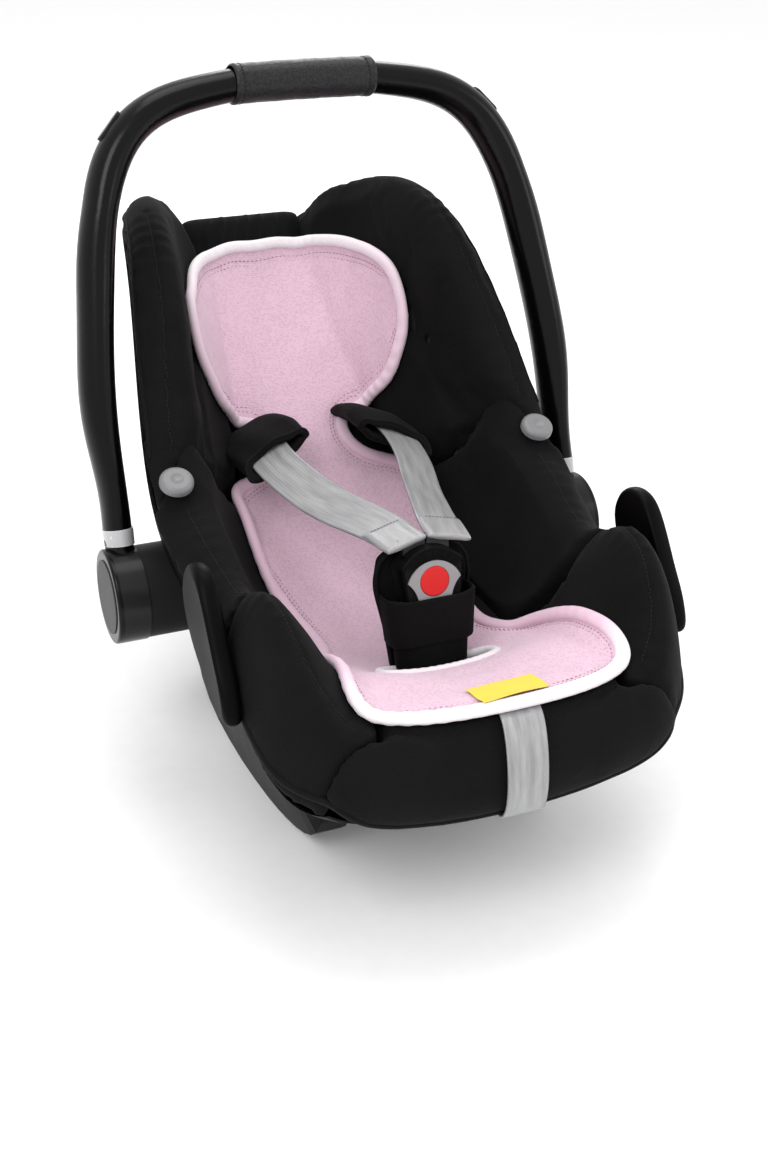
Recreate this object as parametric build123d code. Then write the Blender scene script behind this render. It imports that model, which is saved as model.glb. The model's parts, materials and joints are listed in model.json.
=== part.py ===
from build123d import *
import os
from math import atan2, cos, degrees, radians, sin

# Infant car seat with a carry handle, millimetres.
# X runs across the seat, -Y to the feet, +Y to the head, Z up; the origin is the floor point
# under the middle of the seat.

# ---- driving dimensions ----
SHELL_WALL = 3.4
RUNNER_WALL = 2.8
PAD_THICKNESS = 22.0
LAYER_GAP = 1.0
FRONT_END_Y = -300.0
WING_END_Y = 322.0
ARM_WING_SEAM = ((160, 8), (100, 70))
ARM_THIGH_SEAM = ((152, -158), (105, -118))
HEAD_PANEL_Y = 284.0
SEAT_PAD_FRONT_Y = -268.0
FOAM_FRONT_Y = -267.0

PIVOT_Y = 0.0
PIVOT_Z = 175.0
HANDLE_REACH = 419.0
HANDLE_LEAN = 20.0
HANDLE_HALF_WIDTH = 212.0
HUB_RADIUS = 41.0
HOUSING_X = (150.0, 200.5)
HUB_X = (201.0, 223.9)
CAP_X = (224.0, 228.4)
PIN_RADIUS = 8.0
RUNNING_CLEARANCE = 0.05
PLUNGER_OFFSET = 25.0
PLUNGER_RADIUS = 5.0
PLUNGER_TRAVEL = 7.0
GRIP_HALF_LENGTH = 64.0

WEBBING_WIDTH = 38.0
WEBBING_THICKNESS = 1.6


class Station:
    """One cross-section of the bucket: the padded surface inside and the shell outside."""

    def __init__(self, y, floor, seam, crest, rim, base):
        self.y = y
        self.floor = floor
        self.seam_x, self.seam_z = seam
        self.crest_x, self.crest_z = crest
        self.rim_x, self.rim_z = rim
        self.base_x, self.base_z = base


STATIONS = [
    Station(-300, 197, (100, 197), (124, 199), (145, 134), (86, 111)),
    Station(-276, 194, (100, 199), (139, 226), (166, 139), (94, 104)),
    Station(-245, 184, (100, 197), (149, 256), (177, 158), (100, 98)),
    Station(-200, 160, (100, 178), (153, 270), (181, 180), (104, 91)),
    Station(-140, 135, (98, 152), (156, 240), (182, 200), (106, 86)),
    Station(-80, 131, (96, 146), (160, 250), (184, 225), (106, 88)),
    Station(-20, 145, (94, 158), (160, 272), (188, 248), (104, 102)),
    Station(20, 160, (90, 174), (157, 316), (186, 288), (102, 116)),
    Station(75, 190, (84, 205), (149, 384), (176, 354), (96, 146)),
    Station(145, 238, (74, 256), (138, 442), (162, 415), (88, 193)),
    Station(215, 296, (66, 314), (125, 456), (147, 430), (78, 252)),
    Station(283, 357, (59, 372), (93, 437), (113, 415), (62, 313)),
    Station(322, 388, (52, 392), (66, 405), (80, 393), (45, 348)),
]


# ---- helpers ----
def mirrored(half):
    """Whole symmetric outline from the points of its +X half, which start at X = 0."""
    return [(-x, z) for x, z in reversed(half[1:])] + list(half)


def band_face(y, first, second):
    """Face in the plane Y = y between two open curves that run the same way."""
    a = [(x, y, z) for x, z in first]
    b = [(x, y, z) for x, z in second]
    wire = Wire([Spline(*a), Line(a[-1], b[-1]), Spline(*b), Line(b[0], a[0])])
    return Face(wire)


def loft_between(stations, first, second):
    return loft([band_face(s.y, first(s), second(s)) for s in stations])


def space_above(stations, outline, top, ledge=1):
    """Everything above an open curve at each station, up to a level, with a level ledge at both ends."""
    faces = []
    for s in stations:
        points = [(x, s.y, z) for x, z in outline(s)]
        left, right = points[0], points[-1]
        left_out = (left[0] - ledge, s.y, left[2])
        right_out = (right[0] + ledge, s.y, right[2])
        left_top = (left_out[0], s.y, top)
        right_top = (right_out[0], s.y, top)
        faces.append(Face(Wire([Spline(*points), Line(right, right_out), Line(right_out, right_top),
                                Line(right_top, left_top), Line(left_top, left_out), Line(left_out, left)])))
    return loft(faces)


def slab(y_low, y_high):
    """Large block between two planes across the seat."""
    return Pos(0, (y_low + y_high) / 2, 250) * Box(700, y_high - y_low, 900)


def in_side_view(points, x_low, x_high):
    """Block with the given (y, z) corner outline, between two X planes."""
    outline = Polyline(*[(x_low, y, z) for y, z in points], close=True)
    return extrude(Face(Wire(outline.edges())), amount=x_high - x_low, dir=(1, 0, 0))


def x_cylinder(radius, x_low, x_high, y, z):
    middle = ((x_low + x_high) / 2, y, z)
    return Pos(*middle) * Rot(0, 90, 0) * Cylinder(radius, x_high - x_low)


def both_sides(name, right):
    """Write a right-hand piece and its mirror image."""
    save(f"{name}_right", right)
    save(f"{name}_left", mirror(right, about=Plane.YZ))


def save(name, shape):
    export_step(shape, f"parts/{name}.step")


def ribbon(points, width, thickness, across):
    """Webbing strip through side points: each point is the strip's middle, across its width."""
    half = Vector(*across).normalized() * (width / 2)
    faces = []
    for index, point in enumerate(points):
        before = Vector(*points[max(index - 1, 0)])
        after = Vector(*points[min(index + 1, len(points) - 1)])
        normal = (after - before).normalized().cross(half.normalized()).normalized() * (thickness / 2)
        middle = Vector(*point)
        corners = [middle + half + normal, middle + half - normal,
                   middle - half - normal, middle - half + normal]
        faces.append(Face(Wire(Polyline(*corners, close=True).edges())))
    return loft(faces, ruled=True)


def side_strip(points, width, thickness):
    """Webbing strip across the middle of the seat, from the (y, z) points of its middle line."""
    middle = [Vector(0, y, z) for y, z in points]
    upper, lower = [], []
    for index, point in enumerate(middle):
        way_in = (point - middle[index - 1]).normalized() if index else None
        way_out = (middle[index + 1] - point).normalized() if index < len(middle) - 1 else None
        way = ((way_in or way_out) + (way_out or way_in)).normalized()
        miter = thickness / 2 / max(way.dot(way_out or way_in), 0.5)
        normal = Vector(0, -way.Z, way.Y) * miter
        upper.append((point.Y + normal.Y, point.Z + normal.Z))
        lower.append((point.Y - normal.Y, point.Z - normal.Z))
    return in_side_view(upper + lower[::-1], -width / 2, width / 2)


# ---- cross-section outlines ----
def shell_outline(s, inset):
    """Bucket wall, moved in by an inset from the outside face."""
    height = s.rim_z - s.base_z
    reach = s.rim_x - s.base_x
    return mirrored([
        (0, s.base_z + inset),
        (0.6 * s.base_x, s.base_z + 0.02 * height + inset),
        (s.base_x - 0.6 * inset, s.base_z + 0.14 * height + 0.8 * inset),
        (s.base_x + 0.66 * reach - inset, s.base_z + 0.5 * height + 0.2 * inset),
        (s.rim_x - inset, s.rim_z),
    ])


def foam_top(s):
    """Inner face of the foam, which is the underside of the padding."""
    low = s.seam_z - PAD_THICKNESS
    top_x = s.rim_x - 20
    return mirrored([
        (0, s.floor - PAD_THICKNESS),
        (0.55 * s.seam_x, s.floor - PAD_THICKNESS + 0.3 * (s.seam_z - s.floor)),
        (s.seam_x, low),
        ((s.seam_x + top_x) / 2, low + 0.4 * (s.rim_z - low)),
        (top_x, s.rim_z),
    ])


def seat_top(s):
    half_width = s.seam_x - LAYER_GAP / 2
    return mirrored([
        (0, s.floor),
        (0.55 * half_width, s.floor + 0.3 * (s.seam_z - s.floor)),
        (half_width, s.seam_z),
    ])


def seat_bottom(s):
    return [(x, z - 2 * PAD_THICKNESS) for x, z in seat_top(s)]


def side_top(s):
    """Padded side, from the seam with the seat, over the crest and down to the shell's rim."""
    start_x = s.seam_x + LAYER_GAP / 2
    reach = s.crest_x - start_x
    height = s.crest_z - s.seam_z
    shoulder = s.rim_x - s.crest_x
    drop = s.crest_z - s.rim_z
    return [
        (start_x, s.seam_z),
        (start_x + 0.36 * reach, s.seam_z + 0.24 * height),
        (start_x + 0.62 * reach, s.seam_z + 0.62 * height),
        (s.crest_x, s.crest_z),
        (s.rim_x - 0.14 * shoulder, s.crest_z - 0.45 * drop),
        (s.rim_x, s.rim_z + LAYER_GAP),
    ]


def side_bottom(s):
    low = s.seam_z - 2 * PAD_THICKNESS
    top_x = s.rim_x - 4
    return [
        (s.seam_x + LAYER_GAP / 2, low),
        ((s.seam_x + top_x) / 2, low + 0.2 * (s.rim_z - low)),
        (top_x, s.rim_z + LAYER_GAP),
    ]


def padded_height(s, x):
    """Height of the padding at a distance from the middle."""
    points = [(0, s.floor)] + side_top(s)[:4]
    for (x0, z0), (x1, z1) in zip(points, points[1:]):
        if x <= x1:
            return z0 + (z1 - z0) * (x - x0) / (x1 - x0)
    return s.crest_z


# ---- bucket: shell, foam and padding ----
SLOT_X = 53.0
SLOT_Y = 150.0
SLOT_Z = 232.0
BACK_TILT = 38.0
CROTCH_Y = -170.0
CROTCH_Z = 147.0
ADJUSTER_Y = -246.0
ADJUSTER_Z = 148.0


def webbing_slots():
    """Cutters for the shoulder slots, the crotch slot and the adjuster's slot."""
    shoulder = [Pos(side * SLOT_X, SLOT_Y, SLOT_Z) * Rot(BACK_TILT, 0, 0) * Box(WEBBING_WIDTH + 2, 14, 150)
                for side in (-1, 1)]
    crotch = Pos(0, CROTCH_Y, 120) * Box(WEBBING_WIDTH + 8, 14, 120)
    adjuster = Pos(0, ADJUSTER_Y + 22, 114) * Box(WEBBING_WIDTH + 4, 8, 76)
    return [*shoulder, crotch, adjuster]


RUNNER_PROFILE = [(-206, 60, 108), (-190, 30, 110), (-165, 12, 111), (-130, 3, 114), (-90, 0, 118),
                  (-30, 0, 122), (40, 0, 122), (105, 8, 118), (160, 34, 110), (205, 84, 100), (252, 172, 86)]
RUNNER_FOOT = 26.0


def wall_middle(y):
    """Half-height point of the shell's outside wall at a place along the seat."""
    for a, b in zip(STATIONS, STATIONS[1:]):
        if y <= b.y:
            share = (y - a.y) / (b.y - a.y)
            (ax, az), (bx, bz) = shell_outline(a, 0)[-2], shell_outline(b, 0)[-2]
            return ax + share * (bx - ax), az + share * (bz - az)
    return shell_outline(STATIONS[-1], 0)[-2]


def smooth_runner_profile():
    """The rail's stations with one more between each two, on a curve through their neighbours."""
    rows = [RUNNER_PROFILE[0]]
    for k in range(len(RUNNER_PROFILE) - 1):
        before, a, b, after = (RUNNER_PROFILE[min(max(k + step, 0), len(RUNNER_PROFILE) - 1)]
                               for step in (-1, 0, 1, 2))
        between = tuple((9 * (p + q) - o - r) / 16 for o, p, q, r in zip(before, a, b, after))
        rows += [(between[0], max(between[1], 0), between[2]), b]
    return rows


def runner_block(inset):
    """Rail from the floor up to half the shell's height, moved in by an inset."""
    sections = []
    profile = smooth_runner_profile()
    last = len(profile) - 1
    for index, (y, low, outer) in enumerate(profile):
        top_x, top_z = wall_middle(y)
        shift = inset if index == 0 else -inset if index == last else 0
        corners = [(outer - RUNNER_FOOT + inset, low + inset), (outer - inset, low + inset),
                   (top_x - 0.4 - inset, top_z), (top_x - 40 + inset, top_z)]
        points = [(x, y + shift, z) for x, z in corners]
        sections.append(Face(Wire(Polyline(*points, close=True).edges())))
    return loft(sections, ruled=True)


def runner():
    """Hollow rail that the seat stands and rocks on; the shell's wall closes its top."""
    return runner_block(0) - runner_block(RUNNER_WALL)


def seat_shell():
    """Moulded bucket with its two runners, open on top."""
    bucket = loft_between(STATIONS, lambda s: shell_outline(s, 0), lambda s: shell_outline(s, SHELL_WALL))
    rail = runner() - space_above(STATIONS, lambda s: shell_outline(s, SHELL_WALL / 2), 600)
    shell = bucket + rail + mirror(rail, about=Plane.YZ)
    for cutter in webbing_slots():
        shell -= cutter
    return shell - pivot_pocket()


def pivot_pocket():
    """Room for the handle's housings and pins in the sides of the shell and foam."""
    housings = [hub_cylinder(HUB_RADIUS, side, (HOUSING_X[0] - 0.5, 240)) for side in (-1, 1)]
    pins = [hub_cylinder(PIN_RADIUS + 6, side, (140, HOUSING_X[0])) for side in (-1, 1)]
    return housings[0] + housings[1] + pins[0] + pins[1]


def foam_liner():
    foam = loft_between(STATIONS, lambda s: shell_outline(s, SHELL_WALL + LAYER_GAP), foam_top)
    foam &= slab(FOAM_FRONT_Y, 400)
    for cutter in webbing_slots():
        foam -= cutter
    return foam - pivot_pocket() - adjuster_pocket()


def above_foam():
    lifted = lambda s: [(x, z + LAYER_GAP) for x, z in foam_top(s)]
    return space_above(STATIONS, lifted, 600, ledge=40)


def seat_pad():
    pad = loft_between(STATIONS, seat_top, seat_bottom) & above_foam()
    pad &= slab(SEAT_PAD_FRONT_Y, HEAD_PANEL_Y - LAYER_GAP)
    for cutter in webbing_slots():
        pad -= cutter
    return pad - adjuster_pocket() - adjuster_exit()


def beyond_seam(seam, way):
    """Block on the head side (way 1) or foot side (way -1) of an upright seam, given as two (x, y) points."""
    (x0, y0), (x1, y1) = seam
    turn = degrees(atan2(y0 - y1, x0 - x1))
    on_seam = Pos((x0 + x1) / 2, (y0 + y1) / 2, 250) * Rot(0, 0, turn)
    return on_seam * Pos(0, way * (450 + LAYER_GAP / 2), 0) * Box(900, 900, 900)


def side_pads():
    """Wing, arm and thigh pads of the right-hand side, one row of padding cut at its seams."""
    row = (loft_between(STATIONS, side_top, side_bottom) & above_foam()) - pivot_pocket() - canopy_knob()
    row &= slab(FRONT_END_Y + LAYER_GAP / 2 - 1, WING_END_Y + 1 - LAYER_GAP / 2)
    arm = row & beyond_seam(ARM_WING_SEAM, -1) & beyond_seam(ARM_THIGH_SEAM, 1)
    return {"wing_pad": row & beyond_seam(ARM_WING_SEAM, 1), "arm_pad": arm,
            "thigh_pad": row & beyond_seam(ARM_THIGH_SEAM, -1)}


def head_panel():
    """Gathered panel over the top edge of the bucket, between the two wings."""
    outline = [(HEAD_PANEL_Y, 358), (302, 376), (318, 397), (328, 398), (335, 386), (337, 352),
               (326, 350), (325, 380), (318, 383), (304, 368), (HEAD_PANEL_Y, 345)]
    return in_side_view(outline, -50, 50)


LIP_Y = FRONT_END_Y - 2
ROLL_SECTIONS = [(0, 197, 122, 35), (35, 197, 122.5, 34), (70, 197, 124, 31), (98, 197, 127, 27),
                 (118, 196, 131, 23), (132, 188, 138, 17), (141, 174, 146, 11), (146, 162, 153, 6)]
ROLL_OUTLINE = [(0, 1), (0.29, 0.965), (0.62, 0.82), (0.86, 0.62), (1, 0.36), (0.9, 0.14), (0.62, 0.02),
                (0.2, 0), (0, 0.06)]


def front_apron():
    """Padded roll over the front lip, bowed forward in the middle, with a ledge behind it."""
    whole = [(-x, top, low, depth) for x, top, low, depth in reversed(ROLL_SECTIONS[1:])] + ROLL_SECTIONS
    faces = []
    for x, top, low, depth in whole:
        corners = [(x, LIP_Y - out * depth, low + up * (top - low)) for out, up in ROLL_OUTLINE]
        faces.append(Face(Wire(Polyline(*corners, close=True).edges())))
    ledge = in_side_view([(-269, 170), (-269, 184), (-290, 197), (LIP_Y - 1, 197), (LIP_Y - 1, 170)], -98, 98)
    return loft(faces, ruled=True) + ledge - adjuster_exit()


# ---- removable summer liner ----
LINER_EDGE = [(-296, 98), (-276, 116), (-245, 124), (-200, 122), (-140, 113), (-80, 105), (-20, 101),
              (20, 99), (72, 93), (88, 82), (126, 31), (153, 31), (155, 104), (215, 92), (283, 72)]
LINER_THICKNESS = 5.0
LINER_LIFT = 8.5
LINER_SLOT = (104, 58)


def station_at(y):
    """Cross-section at any place along the seat, between two of the stations."""
    for a, b in zip(STATIONS, STATIONS[1:]):
        if y <= b.y:
            break
    share = (y - a.y) / (b.y - a.y)
    between = lambda p, q: p + share * (q - p)
    pairs = [(between(getattr(a, f"{name}_x"), getattr(b, f"{name}_x")),
              between(getattr(a, f"{name}_z"), getattr(b, f"{name}_z")))
             for name in ("seam", "crest", "rim", "base")]
    return Station(y, between(a.floor, b.floor), *pairs)


def seat_liner():
    """Mesh liner that lies on the padding, with a neck at the shoulders and a crotch slot."""
    sections = []
    for y, edge in LINER_EDGE:
        s = station_at(y)
        under = mirrored([(t * edge, padded_height(s, t * edge) + LINER_LIFT) for t in (0, 0.45, 0.8, 1)])
        over = [(x, z + LINER_THICKNESS) for x, z in under]
        sections.append(band_face(s.y, under, over))
    liner = loft(sections, ruled=True)
    slot = Pos(0, CROTCH_Y - 2, 160) * Box(LINER_SLOT[0], LINER_SLOT[1], 200)
    return liner - slot


def liner_label():
    return Pos(14, -284, 213.5) * Rot(6, 0, 0) * Box(58, 15, 0.8)


# ---- carry handle ----
HANDLE_SECTIONS = [(34, 0, 22, 36), (70, 0, 24, 37), (130, 2, 28, 40), (190, 0, 31, 42), (245, -7, 31, 42),
                   (300, -16, 31, 42), (345, -29, 31, 42), (376, -46, 31, 41), (399, -73, 30, 40),
                   (411, -108, 29, 38), (417, -146, 28, 37)]
HANDLE_TOP = (28, 36)
HANDLE_WALL = 3.0
BUTTON_REACH = 380.0
BUTTON_X = 161.5
BUTTON_SLANT = 42.0
BUTTON_TRAVEL = 4.0


def handle_point(reach, x):
    """Point of the handle's middle plane: distance from the pivot, and place across."""
    lean = radians(HANDLE_LEAN)
    return Vector(x, PIVOT_Y + reach * sin(lean), PIVOT_Z + reach * cos(lean))


def handle_tube(inset, ends=0):
    """Oval arch: sections up one side, over the top and down the other."""
    side = [(reach, HANDLE_HALF_WIDTH + outward, thickness, depth)
            for reach, outward, thickness, depth in HANDLE_SECTIONS]
    side[0] = (side[0][0] + ends, *side[0][1:])
    other_side = [(reach, -x, *size) for reach, x, *size in reversed(side)]
    path = side + [(HANDLE_REACH, 0, *HANDLE_TOP)] + other_side
    centres = [handle_point(reach, x) for reach, x, *_ in path]
    lean = radians(HANDLE_LEAN)
    depth_way = Vector(0, cos(lean), -sin(lean))
    sections = []
    for index, (_, _, thickness, depth) in enumerate(path):
        before = centres[max(index - 1, 0)]
        after = centres[min(index + 1, len(centres) - 1)]
        plane = Plane(origin=centres[index], x_dir=depth_way, z_dir=after - before)
        sections.append(plane * Ellipse(depth / 2 - inset, thickness / 2 - inset))
    return loft(sections)


def handle_trim(side):
    """Silver collar round the foot of the handle, just above the pivot."""
    lean = radians(HANDLE_LEAN)
    sections = []
    for reach, thickness, depth in ((43, 25, 38.8), (57, 26, 39.2)):
        plane = Plane(origin=handle_point(reach, side * HANDLE_HALF_WIDTH), x_dir=(0, cos(lean), -sin(lean)),
                      z_dir=(0, sin(lean), cos(lean)))
        sections.append(plane * Ellipse(depth / 2, thickness / 2))
    return loft(sections) - handle_tube(0)


def hub_cylinder(radius, side, x_range):
    return x_cylinder(radius, *sorted(side * x for x in x_range), PIVOT_Y, PIVOT_Z)


def plunger_cylinder(radius, side, x_range):
    """Cylinder along X at the place where the lock plunger stands, up the handle from the pivot."""
    centre = handle_point(PLUNGER_OFFSET, 0)
    return x_cylinder(radius, *sorted(side * x for x in x_range), centre.Y, centre.Z)


def button_frame(side):
    """Plane of a release button on the outer corner of the handle; its z points out of the handle."""
    origin = handle_point(BUTTON_REACH, side * BUTTON_X)
    lean = radians(HANDLE_LEAN)
    slant = radians(BUTTON_SLANT)
    outward = Vector(side * cos(slant), sin(slant) * sin(lean), sin(slant) * cos(lean))
    along = Vector(-side * sin(slant), cos(slant) * sin(lean), cos(slant) * cos(lean))
    return Plane(origin=origin, x_dir=along, z_dir=outward)


def handle_bar():
    """Hollow arch with a solid disc at each end, holes for the pins, plungers and buttons."""
    bar = handle_tube(0) - handle_tube(HANDLE_WALL, ends=14)
    for side in (-1, 1):
        bar += hub_cylinder(HUB_RADIUS, side, HUB_X)
    for side in (-1, 1):
        bar -= hub_cylinder(PIN_RADIUS + RUNNING_CLEARANCE, side, (190, 240))
        bar -= plunger_cylinder(PLUNGER_RADIUS + RUNNING_CLEARANCE, side, (190, 240))
        bar -= hub_screws(side)
        bar -= button_frame(side) * extrude(SlotOverall(30.2, 12.2), amount=26)
    return bar


def handle_grip():
    """Soft sleeve around the middle of the handle."""
    lean = radians(HANDLE_LEAN)
    sections = []
    for end in (-1, 0, 1):
        centre = handle_point(HANDLE_REACH - 0.8 * abs(end), end * GRIP_HALF_LENGTH)
        plane = Plane(origin=centre, x_dir=(0, cos(lean), -sin(lean)), z_dir=(1, 0, 0))
        sections.append(plane * Ellipse(HANDLE_TOP[1] / 2 + 3.5, HANDLE_TOP[0] / 2 + 3.2))
    return loft(sections) - handle_tube(0)


def hub_parts(side):
    """Housing, pin, cap, grey trim, plunger and springs of one handle pivot."""
    housing = hub_cylinder(HUB_RADIUS - 1, side, HOUSING_X) - hub_cylinder(PIN_RADIUS, side, (140, 210))
    housing -= hub_cylinder(HUB_RADIUS - 7, side, (HOUSING_X[0] + 4, HOUSING_X[1] - 16)) - hub_cylinder(
        PIN_RADIUS + 4, side, (HOUSING_X[0], HOUSING_X[1]))
    groove = hub_cylinder(PLUNGER_OFFSET + PLUNGER_RADIUS + 1, side, (HOUSING_X[1] - 9, HOUSING_X[1] + 1))
    groove -= hub_cylinder(PLUNGER_OFFSET - PLUNGER_RADIUS - 1, side, (HOUSING_X[1] - 10, HOUSING_X[1] + 2))
    pin = hub_cylinder(PIN_RADIUS, side, (144, HUB_X[1] - 2)) + hub_cylinder(PIN_RADIUS + 5, side, (141, 144))
    cap = hub_cylinder(HUB_RADIUS, side, CAP_X)
    cap = fillet(cap.edges().filter_by(GeomType.CIRCLE).sort_by(Axis.X)[-1 if side > 0 else 0], 2.5)
    disc = hub_cylinder(HUB_RADIUS - 9, side, (CAP_X[1], CAP_X[1] + 0.8))
    plunger = plunger_cylinder(PLUNGER_RADIUS, side, (HOUSING_X[1] - 7, HUB_X[1] - 9))
    spring = coil(PLUNGER_RADIUS - 1.2, 0.9, side, HUB_X[1] - 9, HUB_X[1] - 0.5)
    return {"hub_housing": housing - groove, "pivot_pin": pin, "hub_cap": cap, "hub_disc": disc,
            "lock_plunger": plunger, "plunger_spring": spring}


def coil(radius, wire, side, x_start, x_end):
    """Coil spring along X behind the lock plunger, drawn as closed rings."""
    centre = handle_point(PLUNGER_OFFSET, 0)
    rings = []
    count = 4
    for index in range(count):
        x = x_start + wire + (x_end - x_start - 2 * wire) * index / (count - 1)
        rings.append(Pos(side * x, centre.Y, centre.Z) * Rot(0, 90, 0) * Torus(radius, wire / 2))
    return Compound(children=rings)


def handle_button(side):
    """Release button: a long key in the outer corner of the handle."""
    return button_frame(side) * extrude(Plane.XY.offset(8) * SlotOverall(30, 12), amount=9.5)


# ---- pieces on the sides ----
HOOK_CROWN = [(184.4, 0.93), (187, 0.985), (191, 1.0), (195, 0.985), (197.6, 0.94), (199, 0.87)]
HOOK_OUTLINE = [(-132, 262), (-146, 275), (-166, 277), (-186, 262), (-212, 228), (-234, 196), (-236, 184),
                (-222, 180), (-190, 190), (-156, 208), (-134, 230), (-128, 248)]
KNOB_CENTRE = (168.0, -14.0, 278.0)
KNOB_TILT = 26.0


def belt_hook():
    """Horn beside the rim of the shell that the lap belt goes under."""
    middle_y = sum(y for y, z in HOOK_OUTLINE) / len(HOOK_OUTLINE)
    middle_z = sum(z for y, z in HOOK_OUTLINE) / len(HOOK_OUTLINE)
    faces = []
    for x, size in HOOK_CROWN:
        points = [(x, middle_y + size * (y - middle_y), middle_z + size * (z - middle_z))
                  for y, z in HOOK_OUTLINE]
        faces.append(Face(Wire([Spline(*points, periodic=True)])))
    return loft(faces)


def canopy_knob():
    """Thumb knob for the canopy's elastic, on top of the arm pad."""
    dome = Cylinder(14.5, 7, align=(Align.CENTER, Align.CENTER, Align.MIN))
    dome = fillet(dome.faces().sort_by(Axis.Z)[-1].edges(), 4.5) - Pos(0, 0, 22.5) * Sphere(16.5)
    stem = Pos(0, 0, -9) * Cylinder(4, 9, align=(Align.CENTER, Align.CENTER, Align.MIN))
    return Pos(*KNOB_CENTRE) * Rot(KNOB_TILT, 0, 0) * (dome + stem)


# ---- harness ----
STRAP_ROUTE = [(53, 175, 200), (53, 150, 232), (55, 134, 252), (60, 98, 262), (63, 53, 262),
               (48, -28, 252), (26, -110, 244)]
BUCKLE_BASE = Vector(0, CROTCH_Y, CROTCH_Z)
BUCKLE_LEAN = 11.0
BUCKLE_WIDTH = 56.0
BUCKLE_DEPTH = 22.0
BUCKLE_BOTTOM = 62.0
BUCKLE_TOP = 112.0
BUTTON_HEIGHT = 84.0
RELEASE_RADIUS = 12.5
RELEASE_TRAVEL = 3.0


def buckle_place(shape):
    """Move a shape from the buckle's own frame (z up the crotch strap, -y to the front) to the seat."""
    return Pos(*BUCKLE_BASE) * Rot(-BUCKLE_LEAN, 0, 0) * shape


def buckle_body():
    half = BUCKLE_WIDTH / 2
    shoulder = BUCKLE_TOP - 15
    outline = Wire([
        Line((-half + 4, 0, BUCKLE_BOTTOM), (half - 4, 0, BUCKLE_BOTTOM)),
        Line((half - 4, 0, BUCKLE_BOTTOM), (half, 0, shoulder)),
        ThreePointArc((half, 0, shoulder), (0, 0, BUCKLE_TOP), (-half, 0, shoulder)),
        Line((-half, 0, shoulder), (-half + 4, 0, BUCKLE_BOTTOM)),
    ])
    body = Pos(0, BUCKLE_DEPTH / 2, 0) * extrude(Face(outline), amount=BUCKLE_DEPTH, dir=(0, -1, 0))
    body = fillet(body.edges().filter_by(Axis.Y), 8)
    body = fillet(body.faces().sort_by(Axis.Y)[0].edges(), 3)
    well = Pos(0, -BUCKLE_DEPTH / 2, BUTTON_HEIGHT) * Rot(90, 0, 0) * Cylinder(RELEASE_RADIUS + 0.3, 24)
    mouth = Pos(0, 3, BUCKLE_TOP - 10) * Box(44, 3.4, 22)
    return buckle_place(body - well - mouth)


def buckle_plate():
    """Grey face plate around the release button."""
    shield = Wire([
        ThreePointArc((23, 0, 1), (0, 0, 17), (-23, 0, 1)),
        ThreePointArc((-23, 0, 1), (-16.5, 0, -8), (-14, 0, -19)),
        Line((-14, 0, -19), (14, 0, -19)),
        ThreePointArc((14, 0, -19), (16.5, 0, -8), (23, 0, 1)),
    ])
    plate = Pos(0, -BUCKLE_DEPTH / 2, BUTTON_HEIGHT) * extrude(Face(shield), amount=1.5, dir=(0, -1, 0))
    well = Pos(0, -BUCKLE_DEPTH / 2, BUTTON_HEIGHT) * Rot(90, 0, 0) * Cylinder(RELEASE_RADIUS + 0.3, 8)
    return buckle_place(plate - well)


def release_button():
    cap = Pos(0, -BUCKLE_DEPTH / 2 + 2.5, BUTTON_HEIGHT) * Rot(90, 0, 0) * Cylinder(RELEASE_RADIUS, 9)
    return buckle_place(fillet(cap.edges().sort_by(Axis.Y)[0], 1.0))


def release_spring():
    rings = [Pos(0, -BUCKLE_DEPTH / 2 + 8.0 + 1.4 * turn, BUTTON_HEIGHT) * Rot(90, 0, 0) * Torus(6, 0.5)
             for turn in range(3)]
    return buckle_place(Compound(children=rings))


def buckle_tongue(side):
    """Flat metal tongue, from the end loop of a shoulder strap into the buckle's mouth."""
    corners = [(side * 1, 94), (side * 20, 94), (side * 20, 111), (side * 25, 113), (side * 25, 118),
               (side * 1, 118)]
    blade = Wire(Polyline(*[(x, 2, z) for x, z in corners], close=True).edges())
    return buckle_place(extrude(Face(blade), amount=2, dir=(0, 1, 0)))


def shoulder_strap(side):
    route = [(side * x, y, z) for x, y, z in STRAP_ROUTE]
    return ribbon(route, WEBBING_WIDTH, WEBBING_THICKNESS, (1, 0, 0))


def shoulder_pad(side):
    """Soft pad that lies on the shoulder strap, between the slot and the chest."""
    route = [(side * 54, 128, 265), (side * 60, 98, 271), (side * 64, 60, 271)]
    return ribbon(route, 60, 11, (1, 0, side * 0.12))


def crotch_pad():
    """Padded sleeve around the crotch strap, with a flap behind the buckle."""
    sleeve = Pos(0, 0, 34) * Box(66, 38, 52) - Pos(0, 0, 34) * Box(50, 24, 60)
    flap = Pos(0, 18, 56) * Box(84, 9, 88)
    return buckle_place(sleeve + flap)


def crotch_strap():
    lean = radians(BUCKLE_LEAN)
    top = BUCKLE_BASE + Vector(0, BUCKLE_BOTTOM * sin(lean), BUCKLE_BOTTOM * cos(lean))
    return ribbon([(0, CROTCH_Y, 80), (0, CROTCH_Y, CROTCH_Z), tuple(top)],
                  WEBBING_WIDTH, WEBBING_THICKNESS, (1, 0, 0))


def crotch_anchor():
    """Steel plate under the shell that the crotch strap pulls against."""
    return Pos(0, CROTCH_Y, 78) * Box(62, 22, 2.5)


def adjuster_pocket():
    """Space under the front of the seat pad for the harness adjuster."""
    return Pos(0, ADJUSTER_Y - 4, ADJUSTER_Z + 13) * Box(56, 48, 32)


def adjuster_exit():
    """Slot where the adjuster strap comes up between the seat pad and the front roll."""
    return Pos(0, SEAT_PAD_FRONT_Y - 1, 180) * Box(WEBBING_WIDTH, 7, 60)


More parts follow.
